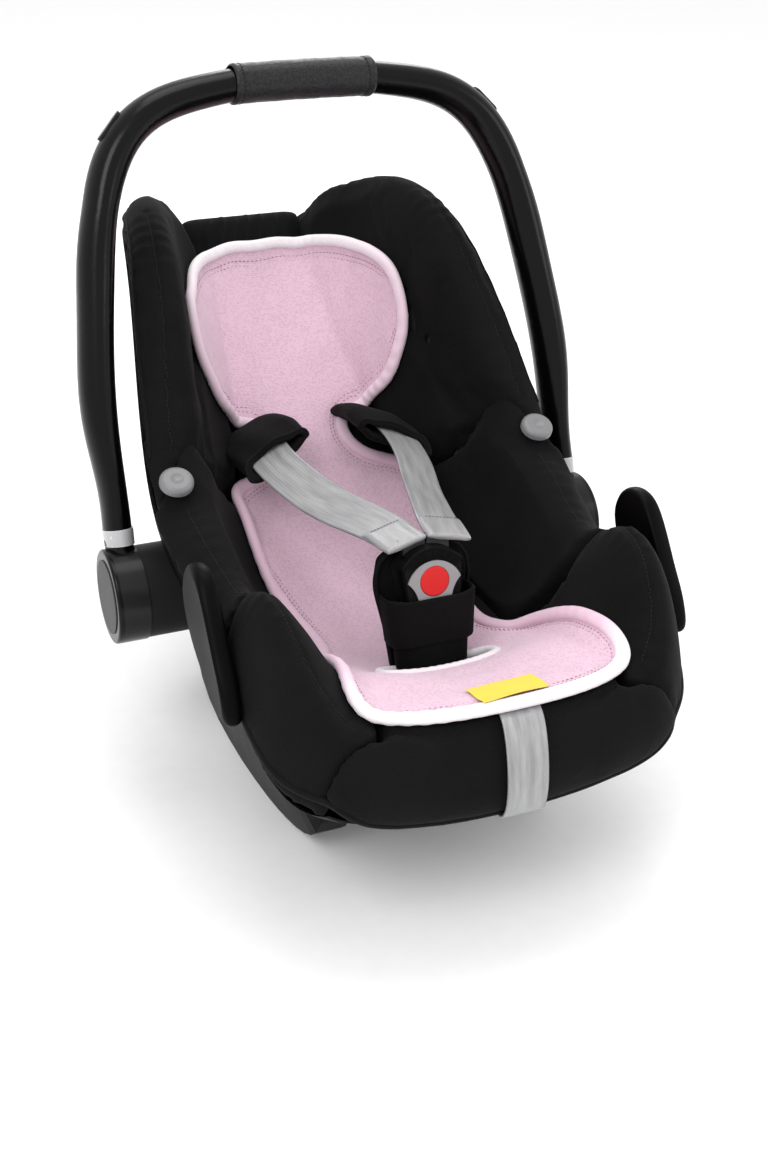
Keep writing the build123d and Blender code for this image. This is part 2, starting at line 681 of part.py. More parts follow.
def adjuster_frame():
    """Steel bracket of the harness adjuster, screwed into the foam."""
    base = Pos(0, ADJUSTER_Y, ADJUSTER_Z) * Box(50, 28, 3)
    cheeks = [Pos(side * 23.5, ADJUSTER_Y, ADJUSTER_Z + 9) * Box(3, 28, 16) for side in (-1, 1)]
    axle = x_cylinder(2.5, -25, 25, ADJUSTER_Y + 6, ADJUSTER_Z + 12)
    return base + cheeks[0] + cheeks[1] + axle


def adjuster_lever():
    """Toothed cam that bites the adjuster strap, pressed down to let the harness out."""
    lever = Pos(0, ADJUSTER_Y + 1, ADJUSTER_Z + 12) * Box(42, 24, 8)
    lever = fillet(lever.edges().filter_by(Axis.X), 2.5)
    return lever - x_cylinder(2.5 + RUNNING_CLEARANCE, -30, 30, ADJUSTER_Y + 6, ADJUSTER_Z + 12)


def adjuster_strap():
    """Strap from the yoke, under the shell and up through the adjuster, to its free end in front."""
    under_shell = [(163, 190), (140, 176), (75, 137), (20, 106), (0, 97), (-80, 78), (-140, 69),
                   (-198, 69), (ADJUSTER_Y + 27, 82), (ADJUSTER_Y + 22, 94), (ADJUSTER_Y + 21, 142)]
    through_adjuster = [(ADJUSTER_Y + 14, ADJUSTER_Z + 3.5), (ADJUSTER_Y - 15, ADJUSTER_Z + 3.5),
                        (SEAT_PAD_FRONT_Y - 1, ADJUSTER_Z + 12)]
    free_end = [(SEAT_PAD_FRONT_Y - 1, 190), (-274, 197), (-290, 199.3), (-303, 199.3), (-313.5, 196.6),
                (-325.8, 185.5), (-334.4, 169.6), (-339.6, 149), (-336, 131.5), (-331, 122)]
    return side_strip(under_shell + through_adjuster + free_end, WEBBING_WIDTH - 6, WEBBING_THICKNESS)


def harness_yoke():
    """Steel plate behind the backrest that both shoulder straps loop over."""
    return Pos(0, 172, 192) * Rot(BACK_TILT, 0, 0) * Box(150, 22, 3)


# ---- fasteners ----
def hub_screws(side):
    """Three screws that hold a hub cap on the handle's disc."""
    screws = []
    for turn in range(3):
        angle = radians(90 + 120 * turn)
        y = PIVOT_Y + 34 * cos(angle)
        z = PIVOT_Z + 34 * sin(angle)
        screws.append(x_cylinder(1.5, *sorted((side * (HUB_X[1] - 6), side * HUB_X[1])), y, z))
    return Compound(children=screws)


def main():
    os.makedirs("parts", exist_ok=True)
    save("seat_shell", seat_shell())
    save("foam_liner", foam_liner())
    save("seat_pad", seat_pad())
    for name, pad in side_pads().items():
        both_sides(name, pad)
    save("head_panel", head_panel())
    save("front_apron", front_apron())
    save("seat_liner", seat_liner())
    save("liner_label", liner_label())
    both_sides("belt_hook", belt_hook())
    both_sides("canopy_knob", canopy_knob())
    save("handle_bar", handle_bar())
    save("handle_grip", handle_grip())
    for side, word in ((1, "right"), (-1, "left")):
        for name, piece in hub_parts(side).items():
            save(f"{name}_{word}", piece)
        save(f"hub_screws_{word}", hub_screws(side))
        save(f"handle_trim_{word}", handle_trim(side))
        save(f"handle_button_{word}", handle_button(side))
        save(f"shoulder_strap_{word}", shoulder_strap(side))
        save(f"shoulder_pad_{word}", shoulder_pad(side))
        save(f"buckle_tongue_{word}", buckle_tongue(side))
    save("buckle_body", buckle_body())
    save("buckle_plate", buckle_plate())
    save("release_button", release_button())
    save("release_spring", release_spring())
    save("crotch_pad", crotch_pad())
    save("crotch_strap", crotch_strap())
    save("crotch_anchor", crotch_anchor())
    save("adjuster_frame", adjuster_frame())
    save("adjuster_lever", adjuster_lever())
    save("adjuster_strap", adjuster_strap())
    save("harness_yoke", harness_yoke())


if __name__ == "__main__":
    main()
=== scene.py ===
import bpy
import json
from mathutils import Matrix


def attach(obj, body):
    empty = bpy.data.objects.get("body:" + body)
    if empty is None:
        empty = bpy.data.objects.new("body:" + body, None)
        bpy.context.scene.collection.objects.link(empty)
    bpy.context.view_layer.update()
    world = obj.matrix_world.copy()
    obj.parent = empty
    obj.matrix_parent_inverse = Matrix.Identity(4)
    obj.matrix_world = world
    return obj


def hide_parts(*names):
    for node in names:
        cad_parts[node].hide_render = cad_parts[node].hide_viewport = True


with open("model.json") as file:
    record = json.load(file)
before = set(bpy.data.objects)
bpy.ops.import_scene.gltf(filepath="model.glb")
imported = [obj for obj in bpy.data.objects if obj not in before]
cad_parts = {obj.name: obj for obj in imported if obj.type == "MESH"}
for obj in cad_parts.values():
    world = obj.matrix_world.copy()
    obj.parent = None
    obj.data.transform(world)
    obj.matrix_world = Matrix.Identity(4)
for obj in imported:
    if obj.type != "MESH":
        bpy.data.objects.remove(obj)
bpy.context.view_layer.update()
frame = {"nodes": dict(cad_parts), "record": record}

import itertools
import json
import math

import bmesh
import bpy
import numpy as np
from mathutils import Matrix, Vector
from mathutils.bvhtree import BVHTree
from mathutils.geometry import delaunay_2d_cdt
from mathutils.kdtree import KDTree

# Infant car seat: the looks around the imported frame. Metres, X across, -Y to the feet, Z up.
MM = 0.001
SIDES = ((1, "right"), (-1, "left"))


# ---- materials
class Shader:
    """One procedural material, built node by node on a Principled surface."""

    def __init__(self, name, color, roughness, **settings):
        self.material = bpy.data.materials.new(name)
        self.material.use_nodes = True
        self.tree = self.material.node_tree
        self.surface = self.tree.nodes["Principled BSDF"]
        self.surface.inputs["Base Color"].default_value = (*color, 1)
        self.surface.inputs["Roughness"].default_value = roughness
        for socket, value in settings.items():
            self.surface.inputs[socket.replace("_", " ")].default_value = value

    def add(self, kind, inputs=(), **settings):
        node = self.tree.nodes.new(kind)
        for key, value in settings.items():
            setattr(node, key, value)
        for socket, value in dict(inputs).items():
            if isinstance(value, bpy.types.NodeSocket):
                self.tree.links.new(value, node.inputs[socket])
            else:
                node.inputs[socket].default_value = value
        return node

    def link(self, output, socket):
        self.tree.links.new(output, self.surface.inputs[socket])

    def place(self, source="Object", scale=(1, 1, 1)):
        coordinates = self.add("ShaderNodeTexCoord").outputs[source]
        return self.add("ShaderNodeMapping", {"Vector": coordinates, "Scale": scale}).outputs[0]

    def noise(self, vector, scale, detail=3.0, roughness=0.55):
        inputs = {"Vector": vector, "Scale": scale, "Detail": detail, "Roughness": roughness}
        return self.add("ShaderNodeTexNoise", inputs).outputs["Fac"]

    def cells(self, vector, scale, feature="F1"):
        inputs = {"Vector": vector, "Scale": scale}
        return self.add("ShaderNodeTexVoronoi", inputs, feature=feature).outputs["Distance"]

    def bands(self, vector, scale, axis="X", distortion=0.0):
        inputs = {"Vector": vector, "Scale": scale, "Distortion": distortion, "Detail": 1.0}
        return self.add("ShaderNodeTexWave", inputs, bands_direction=axis).outputs["Fac"]

    def math(self, operation, a, b):
        return self.add("ShaderNodeMath", {0: a, 1: b}, operation=operation).outputs[0]

    def paint(self, factor, first, second):
        """Base colour that runs from the first colour to the second."""
        mix = self.add("ShaderNodeMix", {"Factor": factor}, data_type="RGBA")
        mix.inputs[6].default_value = (*first, 1)
        mix.inputs[7].default_value = (*second, 1)
        self.link(mix.outputs[2], "Base Color")

    def spread(self, value, low, high, to_low=0.0, to_high=1.0):
        inputs = {"Value": value, "From Min": low, "From Max": high, "To Min": to_low, "To Max": to_high}
        return self.add("ShaderNodeMapRange", inputs).outputs[0]

    def bump(self, height, strength, distance, normal=None):
        inputs = {"Height": height, "Strength": strength, "Distance": distance}
        if normal is not None:
            inputs["Normal"] = normal
        return self.add("ShaderNodeBump", inputs).outputs[0]

    def done(self, normal=None):
        if normal is not None:
            self.link(normal, "Normal")
        return self.material


def woven_cover(name, dark, light, sheen):
    """Fine plain weave with a soft sheen and slight cloudy tone."""
    cloth = Shader(name, dark, 0.88, Sheen_Weight=sheen, Sheen_Roughness=0.42, Specular_IOR_Level=0.10)
    place = cloth.place()
    warp = cloth.bands(place, 190, "X", 0.6)
    weft = cloth.bands(place, 190, "Y", 0.6)
    rise = cloth.bands(place, 190, "Z", 0.6)
    weave = cloth.math("ADD", cloth.math("ADD", warp, weft), rise)
    grain = cloth.noise(place, 700, 2)
    cloud = cloth.noise(place, 14, 4)
    tone = cloth.spread(cloth.math("ADD", cloth.math("MULTIPLY", grain, 0.5), cloud), 0.45, 1.1)
    cloth.paint(tone, dark, light)
    fine = cloth.bump(weave, 0.35, 0.0003)
    return cloth.done(cloth.bump(grain, 0.4, 0.0005, fine))


def spacer_mesh():
    """Pink 3-D mesh: small staggered openings between soft ribs."""
    cloth = Shader("pink_mesh", (0.70, 0.47, 0.58), 0.8, Sheen_Weight=0.35, Sheen_Roughness=0.5,
                   Specular_IOR_Level=0.3)
    place = cloth.place("UV")
    holes = cloth.cells(place, 420)
    rib = cloth.bands(place, 150, "Y", 0.4)
    grain = cloth.noise(place, 900, 2)
    height = cloth.math("ADD", cloth.math("MULTIPLY", cloth.spread(holes, 0.1, 0.6), 0.7),
                        cloth.math("MULTIPLY", rib, 0.3))
    cloud = cloth.noise(place, 22, 3)
    tone = cloth.math("ADD", cloth.math("MULTIPLY", height, 0.55), cloth.math("MULTIPLY", cloud, 0.45))
    cloth.paint(cloth.spread(tone, 0.15, 0.75), (0.52, 0.355, 0.44), (0.69, 0.47, 0.58))
    fine = cloth.bump(height, 0.55, 0.0008)
    return cloth.done(cloth.bump(grain, 0.25, 0.0004, fine))


def padded_binding():
    """Soft binding, pink along the liner's sides and made pale at its two ends by a painted highlight."""
    cloth = Shader("liner_binding", (0.74, 0.56, 0.65), 0.72, Sheen_Weight=0.3, Specular_IOR_Level=0.3)
    place = cloth.place()
    along = cloth.add("ShaderNodeSeparateXYZ", {0: place}).outputs["Y"]
    # Painted highlight: the binding turns pale towards the head end and the foot end of the liner, where the
    # light falls.
    head = cloth.spread(along, 0.10, 0.24)
    foot = cloth.spread(along, -0.245, -0.285)
    grain = cloth.noise(place, 500, 3)
    painted_highlight = cloth.math("MULTIPLY", cloth.math("ADD", head, foot), cloth.spread(grain, 0.1, 0.6, 0.6, 1.0))
    cloth.paint(painted_highlight, (0.72, 0.50, 0.61), (0.84, 0.80, 0.82))
    return cloth.done(cloth.bump(grain, 0.3, 0.0006))


def satin_webbing():
    """Silver webbing: ribs along the strap and a fine twill across it."""
    cloth = Shader("webbing", (0.26, 0.26, 0.27), 0.34, Sheen_Weight=0.1, Specular_IOR_Level=0.9)
    place = cloth.place("UV")
    ribs = cloth.bands(place, 118, "X")
    twill = cloth.bands(cloth.place("UV", (0.7, 1.0, 1.0)), 420, "DIAGONAL")
    # Streaky lighter and darker tone along the strap.
    streak_tone = cloth.noise(cloth.place("UV", (30, 4, 1)), 6, 3)
    cloth.paint(cloth.spread(streak_tone, 0.3, 0.7), (0.20, 0.20, 0.205), (0.33, 0.33, 0.335))
    coarse = cloth.bump(ribs, 0.16, 0.0003)
    return cloth.done(cloth.bump(twill, 0.2, 0.0002, coarse))


def moulding(name, color, roughness, grain_scale, grain_depth, coat=0.0, specular=0.5):
    """Moulded plastic with a fine grain, a little uneven gloss and paler rubbed edges."""
    plastic = Shader(name, color, roughness, Coat_Weight=coat, Coat_Roughness=0.12,
                     Specular_IOR_Level=specular)
    place = plastic.place()
    grain = plastic.noise(place, grain_scale, 3)
    smear = plastic.noise(place, 9, 4)
    plastic.link(plastic.spread(smear, 0.3, 0.7, roughness * 0.88, roughness * 1.14), "Roughness")
    edge = plastic.add("ShaderNodeNewGeometry").outputs["Pointiness"]
    lighter = [channel * 1.5 + 0.012 for channel in color]
    plastic.paint(plastic.spread(edge, 0.53, 0.62), color, lighter)
    return plastic.done(plastic.bump(grain, 0.25, grain_depth))


def grained_leather():
    leather = Shader("grip_leather", (0.012, 0.012, 0.013), 0.45, Specular_IOR_Level=0.22)
    place = leather.place()
    pores = leather.cells(place, 520, "SMOOTH_F1")
    wrinkles = leather.noise(place, 260, 4)
    leather.link(leather.spread(wrinkles, 0.3, 0.7, 0.34, 0.52), "Roughness")
    leather.paint(leather.spread(pores, 0.1, 0.6), (0.022, 0.022, 0.023), (0.010, 0.010, 0.011))
    coarse = leather.bump(pores, 0.5, 0.0006)
    return leather.done(leather.bump(wrinkles, 0.3, 0.0004, coarse))


def plated_steel():
    steel = Shader("plated_steel", (0.55, 0.55, 0.57), 0.3, Metallic=1.0)
    brushed = steel.noise(steel.place("Object", (600, 40, 600)), 2, 3)
    steel.link(steel.spread(brushed, 0.3, 0.7, 0.24, 0.42), "Roughness")
    return steel.done(steel.bump(brushed, 0.12, 0.0002))


def bead_foam():
    foam = Shader("bead_foam", (0.016, 0.016, 0.017), 0.85)
    beads = foam.cells(foam.place(), 260)
    foam.paint(foam.spread(beads, 0.0, 0.5), (0.018, 0.018, 0.019), (0.009, 0.009, 0.010))
    return foam.done(foam.bump(beads, 0.5, 0.001))


def plain_cloth(name, color, sheen=0.2, specular=0.3):
    cloth = Shader(name, color, 0.75, Sheen_Weight=sheen, Specular_IOR_Level=specular)
    place = cloth.place()
    weave = cloth.math("ADD", cloth.bands(place, 260, "X"), cloth.bands(place, 260, "Y"))
    fine = cloth.noise(place, 900, 2)
    cloth.paint(fine, [channel * 0.82 for channel in color], color)
    return cloth.done(cloth.bump(weave, 0.3, 0.0003))


# Colour, roughness, grain scale, grain depth, coat and specular level of each moulded plastic.
MOULDINGS = {
    "shell_plastic": ((0.0012, 0.0012, 0.0013), 0.42, 900, 0.0003, 0.0, 0.06),
    "handle_plastic": ((0.0012, 0.0012, 0.0013), 0.24, 500, 0.0001, 0.03, 0.16),
    "cap_plastic": ((0.024, 0.024, 0.025), 0.5, 900, 0.0003, 0.0, 0.2),
    "grey_plastic": ((0.17, 0.17, 0.175), 0.36, 800, 0.0002),
    "silver_trim": ((0.42, 0.42, 0.43), 0.24, 500, 0.0001, 0.3),
    "red_plastic": ((0.60, 0.010, 0.010), 0.32, 600, 0.0001, 0.05, 0.3),
}
# Colour, sheen and specular level of each plain cloth or thread.
CLOTHS = {
    "pale_binding": ((0.82, 0.77, 0.80), 0.3),
    "label_cloth": ((0.88, 0.64, 0.05),),
    "dark_binding": ((0.003, 0.003, 0.0032), 0.02, 0.12),
    "pink_thread": ((0.36, 0.20, 0.27),),
    "black_thread": ((0.012, 0.012, 0.013), 0.05, 0.2),
    "grey_thread": ((0.16, 0.16, 0.165),),
}
# Dark tone, light tone and sheen of each woven cover.
COVERS = {
    "black_fabric": ((0.0028, 0.0028, 0.003), (0.0066, 0.0066, 0.0068), 0.014),
    "dark_pad": ((0.0024, 0.0024, 0.0026), (0.0058, 0.0058, 0.006), 0.016),
}
MATERIALS = {
    "foam": bead_foam(), "pink_mesh": spacer_mesh(), "binding": padded_binding(),
    "webbing": satin_webbing(), "grip_leather": grained_leather(), "steel": plated_steel(),
}
for build, table in ((moulding, MOULDINGS), (plain_cloth, CLOTHS), (woven_cover, COVERS)):
    MATERIALS.update({name: build(name, *values) for name, values in table.items()})
CAP_NODES = [f"{base}_{word}" for base in ("hub_disc", "buckle_tongue") for _, word in SIDES]
EDGE_RADII = {"belt_hook": 3.0, "handle_button": 1.6, "hub_housing": 1.5}


def paint_cad_nodes():
    for part in frame["record"]["subparts"]:
        node = frame["nodes"][part["node"]]
        material = MATERIALS["cap_plastic" if part["node"] in CAP_NODES else part["material_slot"]]
        if not node.material_slots:
            node.data.materials.append(material)
        for place in node.material_slots:
            place.material = material


def round_cad_nodes():
    """Moulded radius on the rigid pieces whose edges are sharp in the frame."""
    for base, word in itertools.product(EDGE_RADII, ("right", "left")):
        bevel = frame["nodes"][f"{base}_{word}"].modifiers.new("radius", "BEVEL")
        bevel.width = EDGE_RADII[base] * MM
        bevel.segments = 3
        bevel.limit_method = "ANGLE"
        bevel.angle_limit = math.radians(35)


# ---- curves and meshes
def spline_through(knots, values, where):
    """Natural cubic spline: values at the knots, read at other places. Values may be rows."""
    knots = np.asarray(knots, float)
    values = np.asarray(values, float)
    where = np.clip(np.asarray(where, float), knots[0], knots[-1])
    flat = values.reshape(len(knots), -1)
    steps = np.diff(knots)
    count = len(knots)
    system = np.eye(count)
    right = np.zeros_like(flat)
    for i in range(1, count - 1):
        system[i, i - 1:i + 2] = steps[i - 1], 2 * (steps[i - 1] + steps[i]), steps[i]
        right[i] = 6 * ((flat[i + 1] - flat[i]) / steps[i] - (flat[i] - flat[i - 1]) / steps[i - 1])
    bend = np.linalg.solve(system, right)
    index = np.clip(np.searchsorted(knots, where, side="right") - 1, 0, count - 2)
    h = steps[index][:, None]
    a = (knots[index + 1] - where)[:, None] / h
    b = (where - knots[index])[:, None] / h
    result = (a * flat[index] + b * flat[index + 1]
              + ((a ** 3 - a) * bend[index] + (b ** 3 - b) * bend[index + 1]) * h ** 2 / 6)
    return result.reshape((len(where),) + values.shape[1:])


def lengths_along(points):
    """Running length of a line, from 0 at its first point."""
    return np.concatenate([[0], np.cumsum(np.linalg.norm(np.diff(points, axis=0), axis=1))])


def read_line(line, along, where):
    """Rows of a line at other lengths along it."""
    return np.stack([np.interp(where, along, line[:, k]) for k in range(line.shape[1])], axis=1)


def point_tree(points):
    """Nearest-point tree over rows of three coordinates."""
    tree = KDTree(len(points))
    for index, point in enumerate(points):
        tree.insert(point, index)
    tree.balance()
    return tree


def smooth_line(points, count, closed=False):
    """Points spread evenly by length along a smooth curve through the given points."""
    points = np.asarray(points, float)
    if closed:
        points = np.vstack([points[-3:], points, points[:4]])
    lengths = lengths_along(points)
    low, high = (lengths[3], lengths[-4]) if closed else (0, lengths[-1])
    fine = spline_through(lengths, points, np.linspace(low, high, count * 8))
    along = lengths_along(fine)
    even = read_line(fine, along, np.linspace(0, along[-1], count + 1 if closed else count))
    return even[:-1] if closed else even


def scene_object(name, data):
    item = bpy.data.objects.new(name, data)
    bpy.context.scene.collection.objects.link(item)
    return item


def new_piece(name, mesh, material, body="root", replaced=()):
    piece = scene_object(name, mesh)
    mesh.name = name
    mesh.materials.clear()
    mesh.materials.append(MATERIALS[material])
    mesh.polygons.foreach_set("use_smooth", [True] * len(mesh.polygons))
    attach(piece, body)
    if replaced:
        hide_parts(*replaced)
    return piece


def mesh_of(vertices, faces, uv=None):
    mesh = bpy.data.meshes.new("mesh")
    faces = [tuple(int(i) for i in face) for face in faces]
    mesh.from_pydata(np.asarray(vertices, float).tolist(), [], faces)
    if uv is not None:
        layer = mesh.uv_layers.new(name="cloth")
        loops = np.zeros(len(mesh.loops), int)
        mesh.loops.foreach_get("vertex_index", loops)
        layer.data.foreach_set("uv", np.asarray(uv, float)[loops].ravel())
    mesh.update()
    return mesh


def grid_faces(rows, columns, wrap_rows=False, wrap_columns=False):
    faces = []
    for i in range(rows if wrap_rows else rows - 1):
        for j in range(columns if wrap_columns else columns - 1):
            i1, j1 = (i + 1) % rows, (j + 1) % columns
            faces.append((i * columns + j, i * columns + j1, i1 * columns + j1, i1 * columns + j))
    return faces


def normalized(rows):
    return rows / np.maximum(np.linalg.norm(rows, axis=-1, keepdims=True), 1e-12)


def swept(centres, ups, profile, closed=False, capped=True, scale=None):
    """Tube along a line: the profile's first axis runs across it and its second along the ups.

    The ups are one direction for the whole line or a row for each of its points.
    """
    centres = np.asarray(centres, float)
    count = len(centres)
    if closed:
        tangents = np.roll(centres, -1, axis=0) - np.roll(centres, 1, axis=0)
    else:
        tangents = np.gradient(centres, axis=0)
    tangents = normalized(tangents)
    ups = np.asarray(ups, float)
    ups = normalized(ups - (ups * tangents).sum(1, keepdims=True) * tangents)
    across = np.cross(tangents, ups)
    profile = np.asarray(profile, float)
    scale = np.ones((count, 2)) if scale is None else np.asarray(scale, float)
    rings = (centres[:, None] + profile[None, :, :1] * scale[:, None, :1] * across[:, None]
             + profile[None, :, 1:] * scale[:, None, 1:] * ups[:, None])
    size = len(profile)
    faces = grid_faces(count, size, wrap_rows=closed, wrap_columns=True)
    if capped and not closed:
        faces += [tuple(range(size))[::-1], tuple((count - 1) * size + k for k in range(size))]
    uv = np.stack([np.tile(lengths_along(profile), count), np.repeat(lengths_along(centres), size)], axis=1)
    return mesh_of(rings.reshape(-1, 3), faces, uv)


def ring_mesh(rings, capped=False, turned=False):
    """Skin through equal rings of points; its ends may be filled and its faces turned over."""
    rings = np.asarray(rings, float)
    rows, columns = rings.shape[:2]
    faces = grid_faces(rows, columns, wrap_columns=True)
    if capped:
        faces += [tuple(range(columns))[::-1], tuple((rows - 1) * columns + k for k in range(columns))]
    if turned:
        faces = [face[::-1] for face in faces]
    return mesh_of(rings.reshape(-1, 3), faces)


def oval(half_width, half_height, count=16, power=2.0):
    """Closed superellipse outline, round at power 2 and boxier above it."""
    turns = np.linspace(0, 2 * math.pi, count, endpoint=False)
    cos, sin = np.cos(turns), np.sin(turns)
    return np.stack([half_width * np.sign(cos) * np.abs(cos) ** (2 / power),
                     half_height * np.sign(sin) * np.abs(sin) ** (2 / power)], axis=1)


def both(points, side):
    points = np.asarray(points, float) * MM
    return points * np.array([side, 1, 1])


def evaluated_copy(piece):
    """Mesh of an object with its modifiers applied."""
    graph = bpy.context.evaluated_depsgraph_get()
    return bpy.data.meshes.new_from_object(piece.evaluated_get(graph))


def read_rows(items, key):
    flat = np.zeros(len(items) * 3, np.float32)
    items.foreach_get(key, flat)
    return flat.reshape(-1, 3).astype(float)


def coordinates(mesh):
    return read_rows(mesh.vertices, "co")


def set_coordinates(mesh, points):
    mesh.vertices.foreach_set("co", np.asarray(points, np.float32).ravel())
    mesh.update()


def vertex_normals(mesh):
    return read_rows(mesh.vertex_normals, "vector")


def mirrored_mesh(mesh):
    twin = mesh.copy()
    set_coordinates(twin, coordinates(mesh) * np.array([-1, 1, 1]))
    shell = bmesh.new()
    shell.from_mesh(twin)
    bmesh.ops.reverse_faces(shell, faces=shell.faces)
    shell.to_mesh(twin)
    shell.free()
    return twin


# ---- padded pieces
VOXEL = 5 * MM
CLOTH_FRAMES = 16
CLOTH_SETTINGS = {"quality": 4, "mass": 0.3, "tension_stiffness": 12, "compression_stiffness": 12,
                  "shear_stiffness": 4, "bending_stiffness": 1.5, "use_pressure": True,
                  "uniform_pressure_force": 4.0}


def remeshed(mesh, shrink):
    """Even mesh over a plain solid, with its corners rounded and its faces moved in by the shrink."""
    piece = scene_object("scratch", mesh)
    remesh = piece.modifiers.new("remesh", "REMESH")
    remesh.mode = "VOXEL"
    remesh.voxel_size = VOXEL
    smooth = piece.modifiers.new("smooth", "SMOOTH")
    smooth.factor = 0.5
    smooth.iterations = 3
    even = evaluated_copy(piece)
    bpy.data.objects.remove(piece)
    set_coordinates(even, coordinates(even) - vertex_normals(even) * shrink)
    return even


def inflate(mesh, cap):
    """Cloth simulation of a sewn cover over its filling: pressure swells it and its weave holds it."""
    piece = scene_object("scratch", mesh)
    cloth = piece.modifiers.new("cloth", "CLOTH")
    for setting, value in CLOTH_SETTINGS.items():
        setattr(cloth.settings, setting, value)
    cloth.settings.effector_weights.gravity = 0
    for step in range(1, CLOTH_FRAMES + 1):
        bpy.context.scene.frame_set(step)
    swollen = coordinates(evaluated_copy(piece))
    bpy.context.scene.frame_set(1)
    bpy.data.objects.remove(piece)
    start = coordinates(mesh)
    move = swollen - start
    length = np.linalg.norm(move, axis=1, keepdims=True)
    set_coordinates(mesh, start + move * np.minimum(1, cap / np.maximum(length, 1e-9)))


def subdivided(mesh):
    piece = scene_object("scratch", mesh)
    piece.modifiers.new("subdivision", "SUBSURF").levels = 1
    fine = evaluated_copy(piece)
    bpy.data.objects.remove(piece)
    return fine


class SeamLine:
    """A line sewn into a cover: distance and place along it for any point."""

    def __init__(self, points):
        self.points = smooth_line(points, 240)
        self.along = lengths_along(self.points)
        self.tree = point_tree(self.points)

    def near(self, points):
        found = [self.tree.find(point) for point in points]
        return np.array([f[2] for f in found]), self.along[[f[1] for f in found]]


def sew(mesh, seams):
    """Draw a cover in along its seams. Each seam: line, depth, width, pucker height, pitch, reach."""
    for line, depth, width, pucker, pitch, reach in seams:
        points = coordinates(mesh)
        distance, along = line.near(points)
        furrow = np.exp(-(distance / width) ** 2)
        turn = 2 * math.pi * along / pitch + 1.7 * np.sin(along * 61)
        wobble = np.sin(turn) * (0.6 + 0.4 * np.sin(along * 37))
        offset = -depth * furrow + pucker * wobble * np.exp(-(distance / reach) ** 2) * (1 - furrow)
        set_coordinates(mesh, points + vertex_normals(mesh) * offset[:, None])


def padded_cover(node, shrink, seams, shape, cap=6 * MM):
    """Soft cover over a plain CAD pad: remeshed, inflated, subdivided, shaped and sewn."""
    mesh = remeshed(frame["nodes"][node].data.copy(), shrink)
    inflate(mesh, cap)
    mesh = subdivided(mesh)
    shape(mesh)
    sew(mesh, seams)
    return mesh


THIGH_CREST = [(158, -134, 240), (155, -168, 257), (152, -201, 268), (149, -232, 260), (143, -256, 244),
               (130, -280, 217), (118, -291, 202)]
ARM_CREST = [(166, -34, 271), (162, -70, 254), (158, -105, 243), (157, -140, 241)]
WING_CREST = [(165, 8, 299), (158, 42, 345), (149, 78, 387), (140, 130, 433), (133, 180, 452)]
WING_RIM = [(186, 8, 292), (181, 30, 316), (175, 75, 366), (168, 110, 403), (160, 145, 430), (153, 180, 441),
            (144, 215, 444), (129, 250, 437), (111, 283, 424), (92, 305, 410)]
FRONT_HEM = [(184, -140, 212), (184, -200, 197), (180, -240, 178), (170, -272, 158), (151, -299, 150),
             (141, -310, 148), (118, -318, 134), (98, -321, 129), (70, -324, 126), (35, -327, 124),
             (0, -328, 123)]
ROLL_SEAM = [(-112, -296, 199), (-62, -312, 192), (0, -317, 189), (62, -312, 192), (112, -296, 199)]
PLEATS = [(-34, 4.4), (-23, 7.0), (-12, 5.4), (-1, 7.0), (11, 6.0), (24, 5.0), (35, 3.4)]
PLEAT_WIDTH = 3.2 * MM
PLEAT_END = 0.325
PLEAT_FADE = 0.012
HEAD_PANEL_SPREAD = 1.17


def pleated(mesh):
    """Gathers that run up the head panel and fade out below its top edge."""
    points = coordinates(mesh)
    lean = (points[:, 1] - 0.30) * 0.25
    offset = np.zeros(len(points))
    for x, height in PLEATS:
        offset += height * MM * np.exp(-((points[:, 0] - x * MM - lean) / PLEAT_WIDTH) ** 2)
    fade = np.clip((PLEAT_END - points[:, 1]) / PLEAT_FADE, 0, 1)
    wide = np.array([HEAD_PANEL_SPREAD, 1, 1])
    set_coordinates(mesh, (points + vertex_normals(mesh) * (offset * fade)[:, None]) * wide)


def ruffled(height, pitch):
    """Slow unevenness of a stuffed cover; height and pitch in millimetres."""
    def shape(mesh):
        points = coordinates(mesh)
        x, y, z = (points / (pitch * MM)).T
        wave = np.sin(x + 2.1 * np.sin(y)) * np.sin(y * 1.3 + 1.3 * np.sin(z))
        set_coordinates(mesh, points + vertex_normals(mesh) * (wave * height * MM)[:, None])
    return shape


# Seams are line, depth, width, pucker height, pitch and reach in millimetres; waves are height and pitch.
SIDE_RECIPES = {
    "wing_pad": ([(WING_CREST, 2.2, 2.6, 0.5, 18, 18), (WING_RIM, 2.2, 2.6, 0.35, 17, 14)], (0.8, 50)),
    "arm_pad": ([(ARM_CREST, 2.2, 2.6, 0.5, 15, 16)], (0.7, 40)),
    "thigh_pad": ([(THIGH_CREST, 2.2, 2.6, 0.6, 16, 18), (FRONT_HEM, 2.2, 2.4, 0.7, 19, 20)], (0.7, 45)),
}
ROLL_RECIPE = [(ROLL_SEAM, 2.4, 2.6, 0.4, 20, 15)]
SIDE_SHRINK = -0.6 * MM


def sewn_lines(recipe):
    return [(SeamLine(both(points, 1)), *(value * MM for value in values)) for points, *values in recipe]


def side_covers():
    """Wing, arm and thigh covers: made on the right and mirrored to the left."""
    meshes = {}
    for base, (lines, wave) in SIDE_RECIPES.items():
        right = padded_cover(f"{base}_right", SIDE_SHRINK, sewn_lines(lines), ruffled(*wave))
        meshes[f"{base}_right"] = right
        meshes[f"{base}_left"] = mirrored_mesh(right)
    for node, mesh in meshes.items():
        base, word = node.rsplit("_", 1)
        new_piece(f"{base}_cover_{word}", mesh, "black_fabric", replaced=[node])
    return meshes


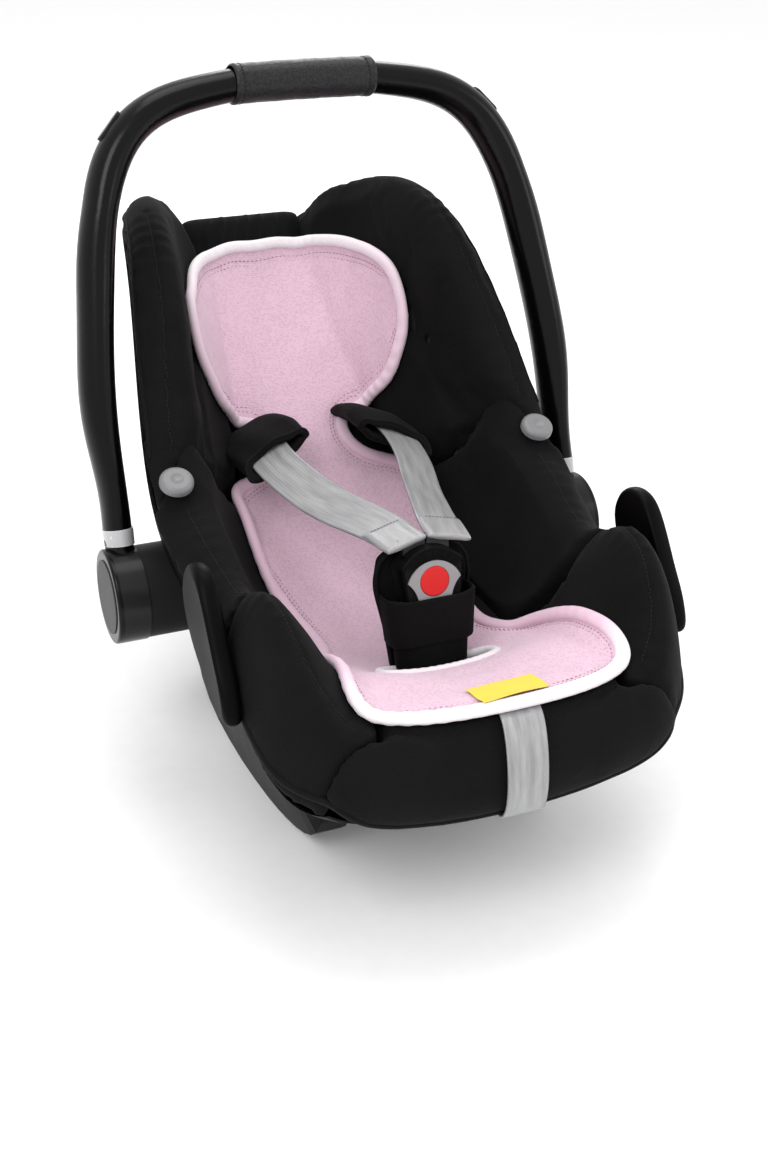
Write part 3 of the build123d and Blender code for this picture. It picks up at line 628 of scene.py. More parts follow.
def middle_covers():
    """Seat pad, gathered head panel and front roll."""
    recipes = {
        "seat_pad": (1 * MM, (), ruffled(0.4, 50), 4 * MM),
        "head_panel": (-2.5 * MM, (), pleated, 5 * MM),
        "front_apron": (-0.6 * MM, sewn_lines(ROLL_RECIPE), ruffled(0.8, 50), 6 * MM),
    }
    meshes = {}
    for node, recipe in recipes.items():
        meshes[node] = padded_cover(node, *recipe)
        piece = new_piece(f"{node}_cover", meshes[node], "black_fabric", replaced=[node])
    return meshes


def stitches(name, line, ups, length, gap, radius, material, slot, lift=0.0, body="root"):
    """Row of short threads along a line; one mesh for the whole row."""
    line = np.asarray(line, float)
    along = lengths_along(line)
    profile = oval(radius, radius, 6)
    vertices, faces = [], []
    for start in np.arange(0, along[-1] - length, length + gap):
        where = np.linspace(start, start + length, 4)
        centres = read_line(line, along, where)
        up = normalized(read_line(ups, along, where))
        centres += up * (lift + radius * np.array([-0.6, 0.5, 0.5, -0.6]))[:, None]
        tangent = normalized(np.gradient(centres, axis=0))
        across = np.cross(tangent, up)
        rings = centres[:, None] + profile[None, :, :1] * across[:, None] + profile[None, :, 1:] * up[:, None]
        base = len(vertices)
        vertices.extend(rings.reshape(-1, 3))
        faces.extend([tuple(base + i for i in face) for face in grid_faces(4, 6, wrap_columns=True)])
        faces.append(tuple(base + k for k in range(6))[::-1])
        faces.append(tuple(base + 18 + k for k in range(6)))
    return new_piece(name, mesh_of(vertices, faces), material, body)


def surface_tree(meshes):
    """One ray-casting tree over several meshes."""
    vertices, faces = [], []
    for mesh in meshes:
        base = len(vertices)
        vertices.extend(coordinates(mesh).tolist())
        faces.extend([tuple(base + i for i in polygon.vertices) for polygon in mesh.polygons])
    return BVHTree.FromPolygons(vertices, faces)


def seam_on(tree, points, side, count=80):
    """A sewn line laid on a cover: its points and the cover's normals there."""
    line = smooth_line(both(points, side), count)
    found = [tree.find_nearest(Vector(point)) for point in line]
    return np.array([f[0] for f in found]), np.array([f[1] for f in found])


def smoothed(values, width, axis, wrap=False):
    """Gaussian smoothing along one axis."""
    reach = int(3 * width)
    kernel = np.exp(-0.5 * (np.arange(-reach, reach + 1) / width) ** 2)
    kernel /= kernel.sum()
    def run(row):
        padded = np.pad(row, reach, mode="wrap" if wrap else "edge")
        return np.convolve(padded, kernel, mode="valid")
    return np.apply_along_axis(run, axis, values)


# ---- liner
class BucketSurface:
    """The inner face of the padding as one smooth sheet: across by arc length, along by Y."""

    FRONT, BACK, ROW = -0.3165, 0.3130, 0.003
    HALF_WIDTH, COLUMN = 0.150, 0.00075
    CLOSED_ROWS = 13
    HEAD_START, HEAD_BLEND, HEAD_LIFT = 0.22, 0.05, 1.2 * MM
    SKY, NO_PADDING = 0.60, 0.10

    def __init__(self, tree, lift):
        self.rows = np.arange(self.FRONT, self.BACK, self.ROW)
        across = np.arange(0, self.HALF_WIDTH, self.COLUMN)
        height = np.array([[self.drop(tree, x, y) for x in across] for y in self.rows])
        height = self.closed(np.maximum.accumulate(height, axis=1))
        whole = np.hstack([height[:, :0:-1], height])
        whole = smoothed(smoothed(whole, 6.0, 1), 3.0, 0)
        head = np.clip((self.rows - self.HEAD_START) / self.HEAD_BLEND, 0, 1)[:, None]
        whole = whole * (1 - head) + (smoothed(whole, 15.0, 1) + self.HEAD_LIFT) * head
        z = whole[:, len(across) - 1:]
        self.grid = np.stack([np.repeat(across[None], len(self.rows), 0),
                              np.repeat(self.rows[:, None], len(across), 1), z], axis=2)
        normal = normalized(np.cross(np.gradient(self.grid, axis=1), np.gradient(self.grid, axis=0)))
        normal[:, 0, 0] = 0
        self.normal = normalized(normal)
        self.grid = self.grid + self.normal * lift
        self.grid[:, 0, 0] = 0
        steps = np.linalg.norm(np.diff(self.grid[:, :, [0, 2]], axis=1), axis=2)
        self.arc = np.concatenate([np.zeros((len(self.rows), 1)), np.cumsum(steps, axis=1)], axis=1)
        self.length = lengths_along(self.grid[:, 0])

    def drop(self, tree, x, y):
        place = tree.ray_cast(Vector((x, y, self.SKY)), Vector((0, 0, -1)))[0]
        return self.NO_PADDING if place is None else place.z

    def closed(self, height):
        """Fill the slots and seams: widen the high places along Y, then draw them back."""
        reach = self.CLOSED_ROWS // 2
        for pick in (np.max, np.min):
            padded = np.pad(height, ((reach, reach), (0, 0)), mode="edge")
            height = pick([padded[k:k + len(height)] for k in range(2 * reach + 1)], axis=0)
        return height

    def at(self, s, y):
        """Points and normals for signed arc lengths s and places y."""
        place = np.clip((y - self.rows[0]) / self.ROW, 0, len(self.rows) - 1.001)
        row = place.astype(int)
        share = (place - row)[:, None]
        def read(index):
            out = np.zeros((len(s), 6))
            for k in np.unique(index):
                mask = index == k
                for c in range(3):
                    out[mask, c] = np.interp(np.abs(s[mask]), self.arc[k], self.grid[k, :, c])
                    out[mask, 3 + c] = np.interp(np.abs(s[mask]), self.arc[k], self.normal[k, :, c])
            return out
        value = read(row) * (1 - share) + read(row + 1) * share
        value[:, [0, 3]] *= np.where(s < 0, -1, 1)[:, None]
        return value[:, :3], normalized(value[:, 3:])

    def flat(self, points):
        """Pattern places (s, y) nearest to 3-D points on the right-hand half."""
        tree = point_tree(self.grid.reshape(-1, 3))
        places = []
        for point in points:
            row, column = divmod(tree.find(point)[1], self.grid.shape[1])
            places.append((self.arc[row, column], self.rows[row]))
        return np.array(places)


LINER_LIFT = 6 * MM
LINER_THICK = 5 * MM
BINDING_SINK = 0.6 * MM
LINER_OUTLINE = [(0, 297, 371), (30, 298, 371), (58, 291, 376), (80, 268, 382), (96, 232, 388),
                 (107, 190, 385), (112, 160, 374), (112, 143, 350), (106, 135, 315), (95, 134, 283),
                 (79, 143, 261), (57, 149, 250), (41, 150, 240), (36, 134, 232), (41, 117, 222),
                 (56, 104, 216), (76, 94, 214), (95, 80, 220), (100, 58, 216), (99, 20, 184), (92, -20, 158),
                 (80, -62, 144), (75, -96, 140), (80, -122, 144), (97, -143, 156), (110, -175, 178),
                 (117, -215, 198), (119, -252, 208), (113, -280, 203), (96, -297, 196), (55, -307, 195),
                 (0, -311, 194)]
HEAD_SHIFT = 0.12
SLOT_Y = -181
SLOT_HALF = (50, 17)
LINER_PITCH = 5 * MM
STITCH_ROWS = (9.6 * MM, 12.6 * MM)


def liner_pattern(surface):
    """Closed outline of the liner and of its crotch slot, both as flat places (s, y)."""
    half = surface.flat(np.array(LINER_OUTLINE) * MM)
    half[0, 0] = half[-1, 0] = 0
    left = half[1:-1][::-1] * np.array([-1, 1])
    left[:, 0] *= 1 - HEAD_SHIFT * np.clip((left[:, 1] - 0.14) / 0.06, 0, 1)
    outline = smoothed(smooth_line(np.vstack([half, left]), 560, closed=True), 3, 0, wrap=True)
    return outline, (oval(*SLOT_HALF, 96, 3.4) + [0, SLOT_Y]) * MM


def inside(points, ring):
    """Which flat points lie inside a closed ring."""
    x, y = points[:, 0][:, None], points[:, 1][:, None]
    x0, y0 = ring[:, 0][None], ring[:, 1][None]
    x1, y1 = np.roll(ring[:, 0], -1)[None], np.roll(ring[:, 1], -1)[None]
    crosses = (y0 > y) != (y1 > y)
    step = np.where(np.abs(y1 - y0) < 1e-12, 1e-12, y1 - y0)
    return (crosses & (x < (x1 - x0) * (y - y0) / step + x0)).sum(1) % 2 == 1


def ring_gap(points, ring):
    """Distance from flat points to the nearest point of a ring."""
    tree = point_tree([(s, y, 0) for s, y in ring])
    return np.array([tree.find((s, y, 0))[2] for s, y in points])


def inset_ring(ring, distance):
    """A closed ring moved towards its inside, whichever way round it runs."""
    ahead = np.roll(ring, -1, axis=0) - np.roll(ring, 1, axis=0)
    normal = normalized(np.stack([-ahead[:, 1], ahead[:, 0]], axis=1))
    x, y = ring.T
    area = np.sum(x * np.roll(y, -1) - np.roll(x, -1) * y)
    return ring + normal * distance * np.sign(area)


def liner_cut(outline, slot):
    """Flat triangles of the liner between its outline and its slot."""
    half_width = np.abs(outline[:, 0]).max()
    across = np.arange(-half_width, half_width, LINER_PITCH)
    along = np.arange(outline[:, 1].min(), outline[:, 1].max(), LINER_PITCH)
    fill = np.array([(s + (LINER_PITCH / 2 if k % 2 else 0), y) for k, y in enumerate(along) for s in across])
    fill = fill[inside(fill, outline) & ~inside(fill, slot)]
    clear = np.minimum(ring_gap(fill, outline), ring_gap(fill, slot)) > 0.6 * LINER_PITCH
    flat = np.vstack([outline, slot, fill[clear]])
    a, b = len(outline), len(slot)
    edges = [(i, (i + 1) % a) for i in range(a)] + [(a + i, a + (i + 1) % b) for i in range(b)]
    result = delaunay_2d_cdt([Vector(point) for point in flat], edges, [], 1, 1e-7)
    flat = np.array([tuple(point) for point in result[0]])
    centres = np.array([flat[list(face)].mean(axis=0) for face in result[2]])
    good = inside(centres, outline) & ~inside(centres, slot)
    return flat, [tuple(face) for face, kept in zip(result[2], good) if kept]


def facing(points, faces, normal):
    """The faces, turned over if the first of them looks away from the normal."""
    a, b, c = (points[i] for i in faces[0][:3])
    return faces if np.dot(np.cross(b - a, c - a), normal) > 0 else [face[::-1] for face in faces]


def seat_liner(surface):
    """Mesh liner: one fitted sheet with a bound edge and a bound crotch slot."""
    outline, slot = liner_pattern(surface)
    flat, faces = liner_cut(outline, slot)
    points, normals = surface.at(*flat.T)
    edge = np.minimum(ring_gap(flat, outline), ring_gap(flat, slot))
    swell = 1.6 * (1 - np.exp(-(edge / 0.016) ** 2)) - 1.2 * np.exp(-((edge - 0.011) / 0.003) ** 2)
    s, y = flat.T
    wave = np.sin(s * 47 + 1.5 * np.sin(y * 23)) * np.sin(y * 31 + s * 11) * np.clip(edge / 0.03, 0, 1)
    points = points + normals * ((swell + 0.9 * wave) * MM)[:, None]
    faces = facing(points, faces, normals[faces[0][0]])
    length = np.interp(y, surface.rows, surface.length)
    mesh = mesh_of(points, faces, np.stack([s, length], axis=1))
    piece = new_piece("liner_sheet", mesh, "pink_mesh", replaced=["seat_liner"])
    thick = piece.modifiers.new("thickness", "SOLIDIFY")
    thick.thickness = LINER_THICK
    thick.offset = -1
    bind(surface, "liner_binding", inset_ring(outline, 1.5 * MM), 6.0 * MM, 4.4 * MM, 1300, 0.28, "binding")
    bind(surface, "slot_binding", inset_ring(slot, -1 * MM), 3.6 * MM, 3.6 * MM, 300, 0.15, "pale_binding")
    for number, distance in enumerate(STITCH_ROWS, 1):
        ring = smooth_line(inset_ring(outline, distance)[::4], 1000, closed=True)
        stitches(f"liner_stitches_{number}", *surface.at(*ring.T), 2.3 * MM, 1.9 * MM, 0.42 * MM,
                 "pink_thread", "pink_mesh", lift=-0.35 * MM)


def bind(surface, name, ring, half_width, half_height, count, pucker, material):
    """Stuffed binding along a flat ring, drawn in by its stitching."""
    ring = smooth_line(ring[::3], count, closed=True)
    points, normals = surface.at(*ring.T)
    points = smoothed(points, 3, 0, wrap=True)
    normals = normalized(smoothed(normals, 4, 0, wrap=True))
    turn = np.arange(count)
    gathers = np.sin(turn * 0.74 + 1.9 * np.sin(turn * 0.051)) * (0.5 + 0.5 * np.sin(turn * 0.037))
    scale = np.stack([np.ones(count), 1 + pucker * 0.35 * gathers], axis=1)
    profile = oval(half_width, half_height, 14, 2.3)
    mesh = swept(points - normals * BINDING_SINK, normals, profile, closed=True, scale=scale)
    new_piece(name, mesh, material)


TAB_WIDTH, TAB_PLAN, TAB_CUT = 58 * MM, 26 * MM, 31 * MM
TAB_CENTRE = (4 * MM, -293 * MM)
TAB_TURN = math.radians(4)


def yellow_tab(surface):
    """Blank woven tab on the front edge of the liner; the slope makes its cut longer than its plan."""
    columns, rows = 30, 9
    across, along = np.meshgrid(np.linspace(-TAB_WIDTH / 2, TAB_WIDTH / 2, columns),
                                np.linspace(-TAB_PLAN / 2, TAB_PLAN / 2, rows), indexing="ij")
    across, along = across.ravel(), along.ravel()
    s = TAB_CENTRE[0] + across * math.cos(TAB_TURN) - along * math.sin(TAB_TURN)
    y = TAB_CENTRE[1] + across * math.sin(TAB_TURN) + along * math.cos(TAB_TURN)
    points, normals = surface.at(s, y)
    lift = 2.4 + 0.5 * np.cos(across / TAB_WIDTH * 2 * math.pi)
    lift += 2.6 / (1 + np.exp((y + 0.302) / 0.0012)) + 2.2 * (along / TAB_PLAN + 0.5) ** 2
    points = points + normals * lift[:, None] * MM
    faces = facing(points, grid_faces(columns, rows), normals[0])
    mesh = mesh_of(points, faces, np.stack([across, along], axis=1))
    piece = new_piece("yellow_tab", mesh, "label_cloth", replaced=["liner_label"])


# ---- harness
STRAP_HALF = 19 * MM
STRAP_ROUTE = [(53, 172, 204), (53, 152, 230), (55, 134, 250), (60, 98, 261), (63, 56, 259), (57, 6, 255),
               (48, -28, 252), (35, -76, 255), (24, -118, 259), (20, -143, 260)]
PAD_ROUTE = [(56, 150, 236), (58, 132, 247), (59, 108, 255), (58, 82, 259), (57, 58, 260)]


def webbing_profile():
    """Cross-section of the webbing: selvedge at both edges and two raised bands."""
    x = np.linspace(-STRAP_HALF, STRAP_HALF, 23)
    raised = 0.28 * MM * (np.exp(-((np.abs(x) - 9 * MM) / (3 * MM)) ** 2)
                          + np.exp(-((np.abs(x) - STRAP_HALF) / (1.6 * MM)) ** 2))
    top = np.stack([x, 0.7 * MM + raised], axis=1)
    low = np.stack([x[::-1], -0.7 * MM - raised[::-1]], axis=1)
    return np.vstack([top, low])


def shoulder_straps():
    """Webbing of each shoulder strap, sewn back on itself where it holds its tongue."""
    count = 110
    share = np.linspace(0, 1, count)
    for side, word in SIDES:
        centres = smooth_line(both(STRAP_ROUTE, side), count)
        lean = side * (0.10 + 0.30 * np.sin(share * math.pi))
        ups = np.stack([lean, -0.25 - 0.10 * share, np.ones(count)], axis=1)
        mesh = swept(centres, ups, webbing_profile())
        new_piece(f"shoulder_webbing_{word}", mesh, "webbing", replaced=[f"shoulder_strap_{word}"])
        strap_loop(word, centres[-11:], ups[-1])


LOOP_REACH = 9 * MM
LOOP_HALF_HEIGHT = 2.7 * MM


def strap_loop(word, end, up):
    """Sewn loop at the end of a strap, with its seam."""
    rows = 40
    way = normalized(end[-1] - end[0])
    up = normalized(up - np.dot(up, way) * way)
    centres = smooth_line(np.vstack([end[0], end[-1], end[-1] + way * LOOP_REACH]), rows)
    share = np.linspace(0, 1, rows)
    grow = np.clip(np.linspace(0, 6, rows), 0, 1) * np.clip(np.linspace(7, 0.55, rows), 0, 1) ** 0.5
    ruffle = 1 + 0.10 * np.sin(np.arange(rows) * 1.9) * share ** 3
    scale = np.stack([0.985 - 0.03 * share ** 4, grow * ruffle], axis=1)
    profile = oval(STRAP_HALF, LOOP_HALF_HEIGHT, 40, 4.0)
    profile[:, 1] += 0.35 * MM * np.sin(profile[:, 0] / (1.9 * MM))
    mesh = swept(centres + up * 0.4 * MM, up, profile, scale=scale)
    new_piece(f"strap_loop_{word}", mesh, "webbing")
    across = np.cross(way, up) * np.linspace(-15 * MM, 15 * MM, 30)[:, None]
    seam = centres[5] + up * 3.1 * MM + across
    stitches(f"strap_seam_{word}", seam, np.repeat(up[None], 30, 0), 2.2 * MM, 0.9 * MM, 0.35 * MM,
             "grey_thread", "webbing")


SLEEVE_STATIONS = [0, 0.25, 0.7, 1]
SLEEVE_HALF_WIDTH = [27, 32, 36, 34]
SLEEVE_HALF_HEIGHT = [6, 9, 11, 9]
SLEEVE_WALL = 5.2 * MM
LOBE_TURN = math.radians(205)
LOBE_SPREAD = 0.95
LOBE_REACH = 24 * MM


def shoulder_pads():
    """Loose padded sleeve round each shoulder strap, open at its lower end."""
    rows, columns = 46, 64
    share = np.linspace(0, 1, rows)
    half_width = np.interp(share, SLEEVE_STATIONS, SLEEVE_HALF_WIDTH) * MM
    half_height = np.interp(share, SLEEVE_STATIONS, SLEEVE_HALF_HEIGHT) * MM
    turns = np.linspace(0, 2 * math.pi, columns, endpoint=False)
    ring_x, ring_z = oval(1.0, 1.0, columns, 2.3).T
    reach = LOBE_REACH * np.exp(-(np.angle(np.exp(1j * (turns - LOBE_TURN))) / LOBE_SPREAD) ** 2)
    for side, word in SIDES:
        centres = smooth_line(both(PAD_ROUTE, side), rows)
        tangents = normalized(np.gradient(centres, axis=0))
        up = normalized(np.array([side * 0.42, -0.10, 1.0]))
        ups = normalized(up - (tangents * up).sum(1, keepdims=True) * tangents)
        across = np.cross(tangents, ups) * side

        def ring(k, inset, push):
            x = (half_width[k] - inset) * ring_x
            crease = 1.0 * MM * np.sin(6 * turns + 5 * share[k]) * share[k]
            z = (half_height[k] - inset) * ring_z + crease
            return centres[k] + np.stack([x, z, push * reach], 1) @ np.stack([across[k], ups[k], tangents[k]])

        rings = [ring(k, 0, share[k] ** 4) for k in range(rows)]
        for turn in np.linspace(0, math.pi, 7)[1:]:
            rounding = ring(rows - 1, SLEEVE_WALL / 2 * (1 - math.cos(turn)), 1.0)
            rings.append(rounding + SLEEVE_WALL / 2 * math.sin(turn) * tangents[-1])
        rings += [ring(k, SLEEVE_WALL, share[k] ** 4) for k in range(rows - 2, 12, -1)]
        piece = new_piece(f"shoulder_sleeve_{word}", ring_mesh(rings, turned=side < 0), "dark_pad",
                          replaced=[f"shoulder_pad_{word}"])
        lip = swept(ring(rows - 1, -0.4 * MM, 1.0), tangents[-1], oval(1.5 * MM, 1.5 * MM, 8), closed=True)
        new_piece(f"sleeve_piping_{word}", lip, "dark_binding")


BUCKLE_BASE = np.array([0, -170, 147]) * MM
BUCKLE_LEAN = math.radians(11)
BUCKLE_FACING = np.array([0, -math.cos(BUCKLE_LEAN), math.sin(BUCKLE_LEAN)])


def in_buckle_frame(points):
    """From the buckle's own frame (z up the crotch strap, -y to the front) to the seat, in millimetres."""
    points = np.asarray(points, float) * MM
    y = points[..., 1] * math.cos(BUCKLE_LEAN) + points[..., 2] * math.sin(BUCKLE_LEAN)
    z = -points[..., 1] * math.sin(BUCKLE_LEAN) + points[..., 2] * math.cos(BUCKLE_LEAN)
    return np.stack([points[..., 0], y, z], axis=-1) + BUCKLE_BASE


def pillow(name, outline, thick, back, replaced=()):
    """Flat stuffed pad in the buckle's frame: outline rows (z, half width), crowned on both faces."""
    rows, columns, rounding = 60, 56, 7.0
    low, high = outline[0][0], outline[-1][0]
    z = low + (high - low) * (0.5 - 0.5 * np.cos(np.linspace(0, math.pi, rows)))
    half = np.maximum(spline_through(*zip(*outline), z), 0.5)
    ends = np.clip(np.minimum(z - low, high - z) / rounding, 0, 1)
    ends = np.sqrt(1 - (1 - ends) ** 2)
    section = oval(1.0, 1.0, columns, 2.6)
    rings = []
    for k in range(rows):
        x = section[:, 0] * half[k] * (0.90 + 0.10 * ends[k])
        depth = thick / 2 * max(ends[k], 0.02) * (1 - 0.25 * np.abs(section[:, 0]) ** 6)
        rings.append(np.stack([x, back + section[:, 1] * depth, np.full(columns, z[k])], axis=1))
    mesh = ring_mesh(in_buckle_frame(rings), capped=True)
    new_piece(name, mesh, "dark_pad", replaced=replaced)


CROTCH_OUTLINE = [(2, 30), (20, 32), (42, 35), (62, 39), (82, 41), (96, 38), (106, 28), (111, 10)]
CROTCH_LOWER = [(-6, 29), (10, 31), (34, 32.5), (48, 32)]
CROTCH_EDGE_Y = 12.5


def crotch_pieces():
    """Pad behind the buckle with its piping, the sleeve below it and the band round both."""
    pillow("crotch_pad_back", CROTCH_OUTLINE, 13, 19, replaced=["crotch_pad"])
    pillow("crotch_sleeve", CROTCH_LOWER, 30, 2)
    edge = [(x, CROTCH_EDGE_Y, z) for z, x in CROTCH_OUTLINE]
    edge += [(-x, y, z) for x, y, z in edge[::-1]]
    line = smooth_line(in_buckle_frame(edge), 220)
    mesh = swept(line, BUCKLE_FACING, oval(1.7 * MM, 1.7 * MM, 8))
    new_piece("crotch_piping", mesh, "dark_binding")
    band()


BAND_LOW, BAND_HIGH = 32, 70
BAND_EDGES = ([(31, 1.6), (30.4, 0.8)], [(71, 0.9), (71.2, 1.8), (70, 2.6), (60, 2.8)])


def band():
    """Wide band round the pad, in front of the lower half of the buckle; its edges are rows (z, inset)."""
    columns, rows = 96, 22
    turns = np.linspace(0, 2 * math.pi, columns, endpoint=False)
    x, y = oval(1.0, 1.0, columns, 2 / 0.62).T
    heights = [(z, 0.0) for z in np.linspace(BAND_LOW, BAND_HIGH, rows)]
    rings = []
    for z, inset in BAND_EDGES[0] + heights + BAND_EDGES[1]:
        share = np.clip((z - BAND_LOW) / (BAND_HIGH - BAND_LOW), 0, 1)
        half_x = 37.0 + 3.0 * share - inset
        half_y = 19.5 + 1.5 * share - inset
        sag = 0.7 * np.cos(turns * 2) * share + 0.25 * np.sin(7 * turns)
        rings.append(np.stack([half_x * x, 5 + half_y * y, z + sag], axis=1))
    new_piece("crotch_band", ring_mesh(in_buckle_frame(rings)), "dark_pad")


def crotch_webbing():
    line = smooth_line(in_buckle_frame([(0, 0, z) for z in (-66, -10, 30, 61)]), 40)
    mesh = swept(line, BUCKLE_FACING, webbing_profile())
    new_piece("crotch_webbing", mesh, "webbing", replaced=["crotch_strap"])


FREE_END = [(0, -246, 150), (0, -262, 153), (0, -269, 166), (0, -270, 188), (0, -277, 193), (0, -292, 197),
            (0, -304, 198), (0, -317, 197), (0, -330, 188), (0, -340, 170), (0, -344, 149), (0, -339, 129),
            (0, -327, 118), (0, -314, 117)]
UNDER_SHELL = [(0, 163, 190), (0, 140, 176), (0, 75, 137), (0, 20, 106), (0, -80, 78), (0, -140, 69),
               (0, -198, 69), (0, -219, 82), (0, -224, 94), (0, -225, 142)]
FREE_END_DRIFT = [(262, 0), (292, 8), (344, -3)]
ROLL_START = -0.272
STRAP_CLEAR = 1.3 * MM
ADJUSTER_HALF = 16.4 * MM


def adjuster_webbing(tree):
    """Harness adjuster strap: the run under the shell and the free end over the front roll."""
    profile = webbing_profile() * [ADJUSTER_HALF / STRAP_HALF, 1]
    low = smooth_line(np.array(UNDER_SHELL) * MM, 140)
    mesh = swept(low, (0, 0.3, -1.0), profile)
    new_piece("adjuster_webbing_low", mesh, "webbing", replaced=["adjuster_strap"])
    drift = np.interp([-y for _, y, _ in FREE_END], *zip(*FREE_END_DRIFT))
    front = smooth_line((FREE_END + np.outer(drift, [1, 0, 0])) * MM, 110)
    for k, point in enumerate(front):
        place, normal = tree.find_nearest(Vector(point))[:2]
        gap = (Vector(point) - place).dot(normal)
        if point[1] < ROLL_START and gap < STRAP_CLEAR:
            front[k] = place + normal * STRAP_CLEAR
    front = smoothed(front, 2, 0)
    tangents = normalized(np.gradient(front, axis=0))
    ups = normalized(np.cross(tangents, np.array([1.0, 0, 0])))
    if ups[60, 2] < 0:
        ups = -ups
    mesh = swept(front, ups, profile)
    new_piece("adjuster_webbing_front", mesh, "webbing")


# ---- trims on the covers
def cover_lines(tree):
    """Sewn threads and piping on the black covers."""
    crests = {"wing_crest": WING_CREST, "arm_crest": ARM_CREST, "thigh_crest": THIGH_CREST}
    for side, word in SIDES:
        for name, points in crests.items():
            line, normals = seam_on(tree, points, side)
            stitches(f"{name}_thread_{word}", line, normals, 2.6 * MM, 1.1 * MM, 0.3 * MM,
                     "black_thread", "black_fabric", lift=0.1 * MM)
        line, normals = seam_on(tree, WING_RIM, side, 140)
        mesh = swept(smoothed(line, 2, 0) - normals * 0.3 * MM, normals,
                     oval(1.8 * MM, 1.8 * MM, 10))
        new_piece(f"wing_piping_{word}", mesh, "dark_binding")
    hem = FRONT_HEM + [(-x, y, z) for x, y, z in FRONT_HEM[-2::-1]]
    line, normals = seam_on(tree, hem, 1, 320)
    mesh = swept(smoothed(line, 3, 0), normalized(smoothed(normals, 3, 0)),
                 oval(3.4 * MM, 2.8 * MM, 12))
    new_piece("front_hem", mesh, "dark_binding")


# ---- handle sleeve
HANDLE_LEAN = math.radians(20)
HANDLE_PIVOT = np.array([0, 0, 175.0])
HANDLE_TOP = 419
ALONG_HANDLE = np.array([0, math.sin(HANDLE_LEAN), math.cos(HANDLE_LEAN)])
ACROSS_HANDLE = np.array([0, math.cos(HANDLE_LEAN), -math.sin(HANDLE_LEAN)])
GRIP_HALF = 64
GRIP_SECTION = (20.9, 16.7)
GRIP_POWER = 2.2
HEM_PLACE, HEM_GROOVE = 61.5, 57.0


def grip_centre(x):
    """Middle of the handle's arch at a place across it."""
    return HANDLE_PIVOT + (HANDLE_TOP - 0.8 * (x / GRIP_HALF) ** 2) * ALONG_HANDLE + np.array([x, 0, 0])


def handle_sleeve():
    """Grained sleeve round the top of the handle, with a stitched hem at each end."""
    columns, rows = 56, 90
    section = oval(1.0, 1.0, columns, GRIP_POWER)
    rings = []
    for x in np.linspace(-GRIP_HALF, GRIP_HALF, rows):
        hem = 0.55 * math.exp(-((abs(x) - HEM_PLACE) / 2.2) ** 2)
        groove = 0.5 * math.exp(-((abs(x) - HEM_GROOVE) / 1.1) ** 2)
        slack = 0.3 * (0.35 * math.sin(x * 0.21) + 0.25 * math.sin(x * 0.53 + 1))
        grow = hem - groove - (1.2 if abs(x) == GRIP_HALF else 0.0)
        half_depth, half_high = GRIP_SECTION[0] + grow, GRIP_SECTION[1] + grow + slack
        rings.append(grip_centre(x) + section[:, :1] * half_depth * ACROSS_HANDLE
                     + section[:, 1:] * half_high * ALONG_HANDLE)
    piece = new_piece("handle_sleeve", ring_mesh(np.array(rings) * MM), "grip_leather", body="handle",
                      replaced=["handle_grip"])
    ring = oval(*GRIP_SECTION, 120, GRIP_POWER)
    ring = np.vstack([ring, ring[:1]])
    ups = normalized(ring @ (np.stack([ACROSS_HANDLE, ALONG_HANDLE]) / np.square(GRIP_SECTION)[:, None]))
    for end, word in SIDES:
        line = grip_centre(end * HEM_GROOVE) + ring @ np.stack([ACROSS_HANDLE, ALONG_HANDLE])
        stitches(f"sleeve_thread_{word}", line * MM, ups, 2.4 * MM, 1.4 * MM, 0.35 * MM, "black_thread",
                 "grip_leather", body="handle")


# ---- light, floor and camera
CAMERA_PLACE = (-0.4786, -1.1662, 0.842)
CAMERA_BACK = (-0.3535, -0.8247, 0.4415)
CAMERA_AZIMUTH = math.radians(-23.2)
CAMERA_ROLL = math.radians(1.25)
CAMERA_LENS = 49.34
CAMERA_SHIFT = (0.0043, -0.060)


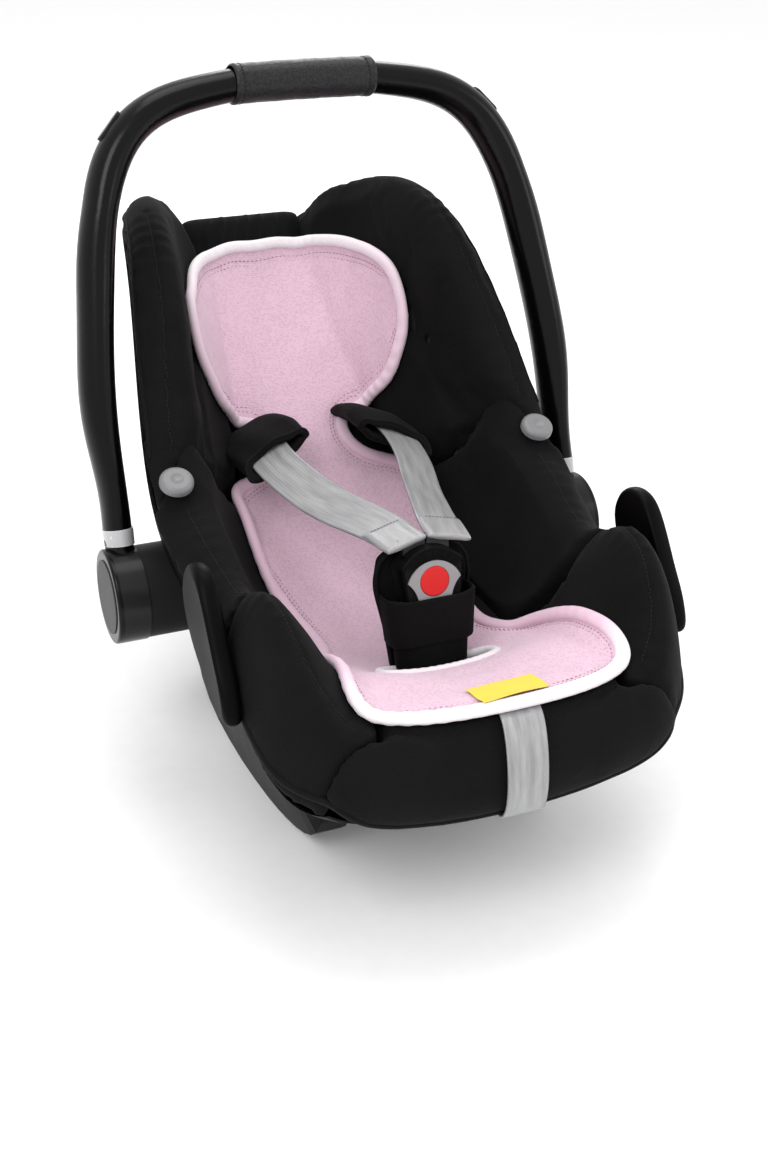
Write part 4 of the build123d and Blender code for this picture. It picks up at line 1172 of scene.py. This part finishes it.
def studio():
    bpy.ops.mesh.primitive_plane_add(size=14)
    floor = bpy.context.object
    floor.name = "studio_floor"
    paper = Shader("studio_paper", (0.94, 0.94, 0.94), 0.9)
    fleck = paper.noise(paper.place(), 60, 3)
    paper.paint(paper.spread(fleck, 0.3, 0.7), (0.93, 0.93, 0.93), (0.95, 0.95, 0.95))
    floor.data.materials.append(paper.done())
    world = bpy.data.worlds.new("studio")
    bpy.context.scene.world = world
    world.use_nodes = True
    world.node_tree.nodes["Background"].inputs["Color"].default_value = (1, 1, 1, 1)
    world.node_tree.nodes["Background"].inputs["Strength"].default_value = 1.0
    bpy.context.scene.view_settings.view_transform = "Standard"
    lamps = (("key", (-1.5, -1.3, 2.2), 1.2, 26), ("fill", (1.7, -1.2, 1.3), 1.0, 8),
             ("top", (0.1, 0.5, 2.6), 1.6, 22), ("back", (0.9, 2.2, 1.5), 1.0, 12))
    for name, place, size, power in lamps:
        light = bpy.data.lights.new(name, "AREA")
        light.size = size
        light.energy = power
        lamp = scene_object(name, light)
        lamp.location = place
        lamp.rotation_euler = (Vector(place) - Vector((0, 0, 0.25))).to_track_quat("Z", "Y").to_euler()


def camera():
    back = Vector(CAMERA_BACK).normalized()
    level = Vector((math.cos(CAMERA_AZIMUTH), math.sin(CAMERA_AZIMUTH), 0))
    up = back.cross(level)
    right = level * math.cos(CAMERA_ROLL) + up * math.sin(CAMERA_ROLL)
    up = up * math.cos(CAMERA_ROLL) - level * math.sin(CAMERA_ROLL)
    lens = bpy.data.cameras.new("camera")
    lens.lens = CAMERA_LENS
    lens.sensor_width = 36
    lens.shift_x, lens.shift_y = CAMERA_SHIFT
    lens.clip_start = 0.05
    eye = scene_object("camera", lens)
    turn = Matrix((right, up, back)).transposed().to_4x4()
    eye.matrix_world = Matrix.Translation(CAMERA_PLACE) @ turn
    bpy.context.scene.camera = eye


paint_cad_nodes()
round_cad_nodes()
covers = side_covers()
covers.update(middle_covers())
padding = surface_tree(covers.values())
bucket = BucketSurface(padding, LINER_LIFT)
seat_liner(bucket)
yellow_tab(bucket)
shoulder_straps()
shoulder_pads()
crotch_pieces()
crotch_webbing()
adjuster_webbing(padding)
cover_lines(padding)
handle_sleeve()
studio()
camera()
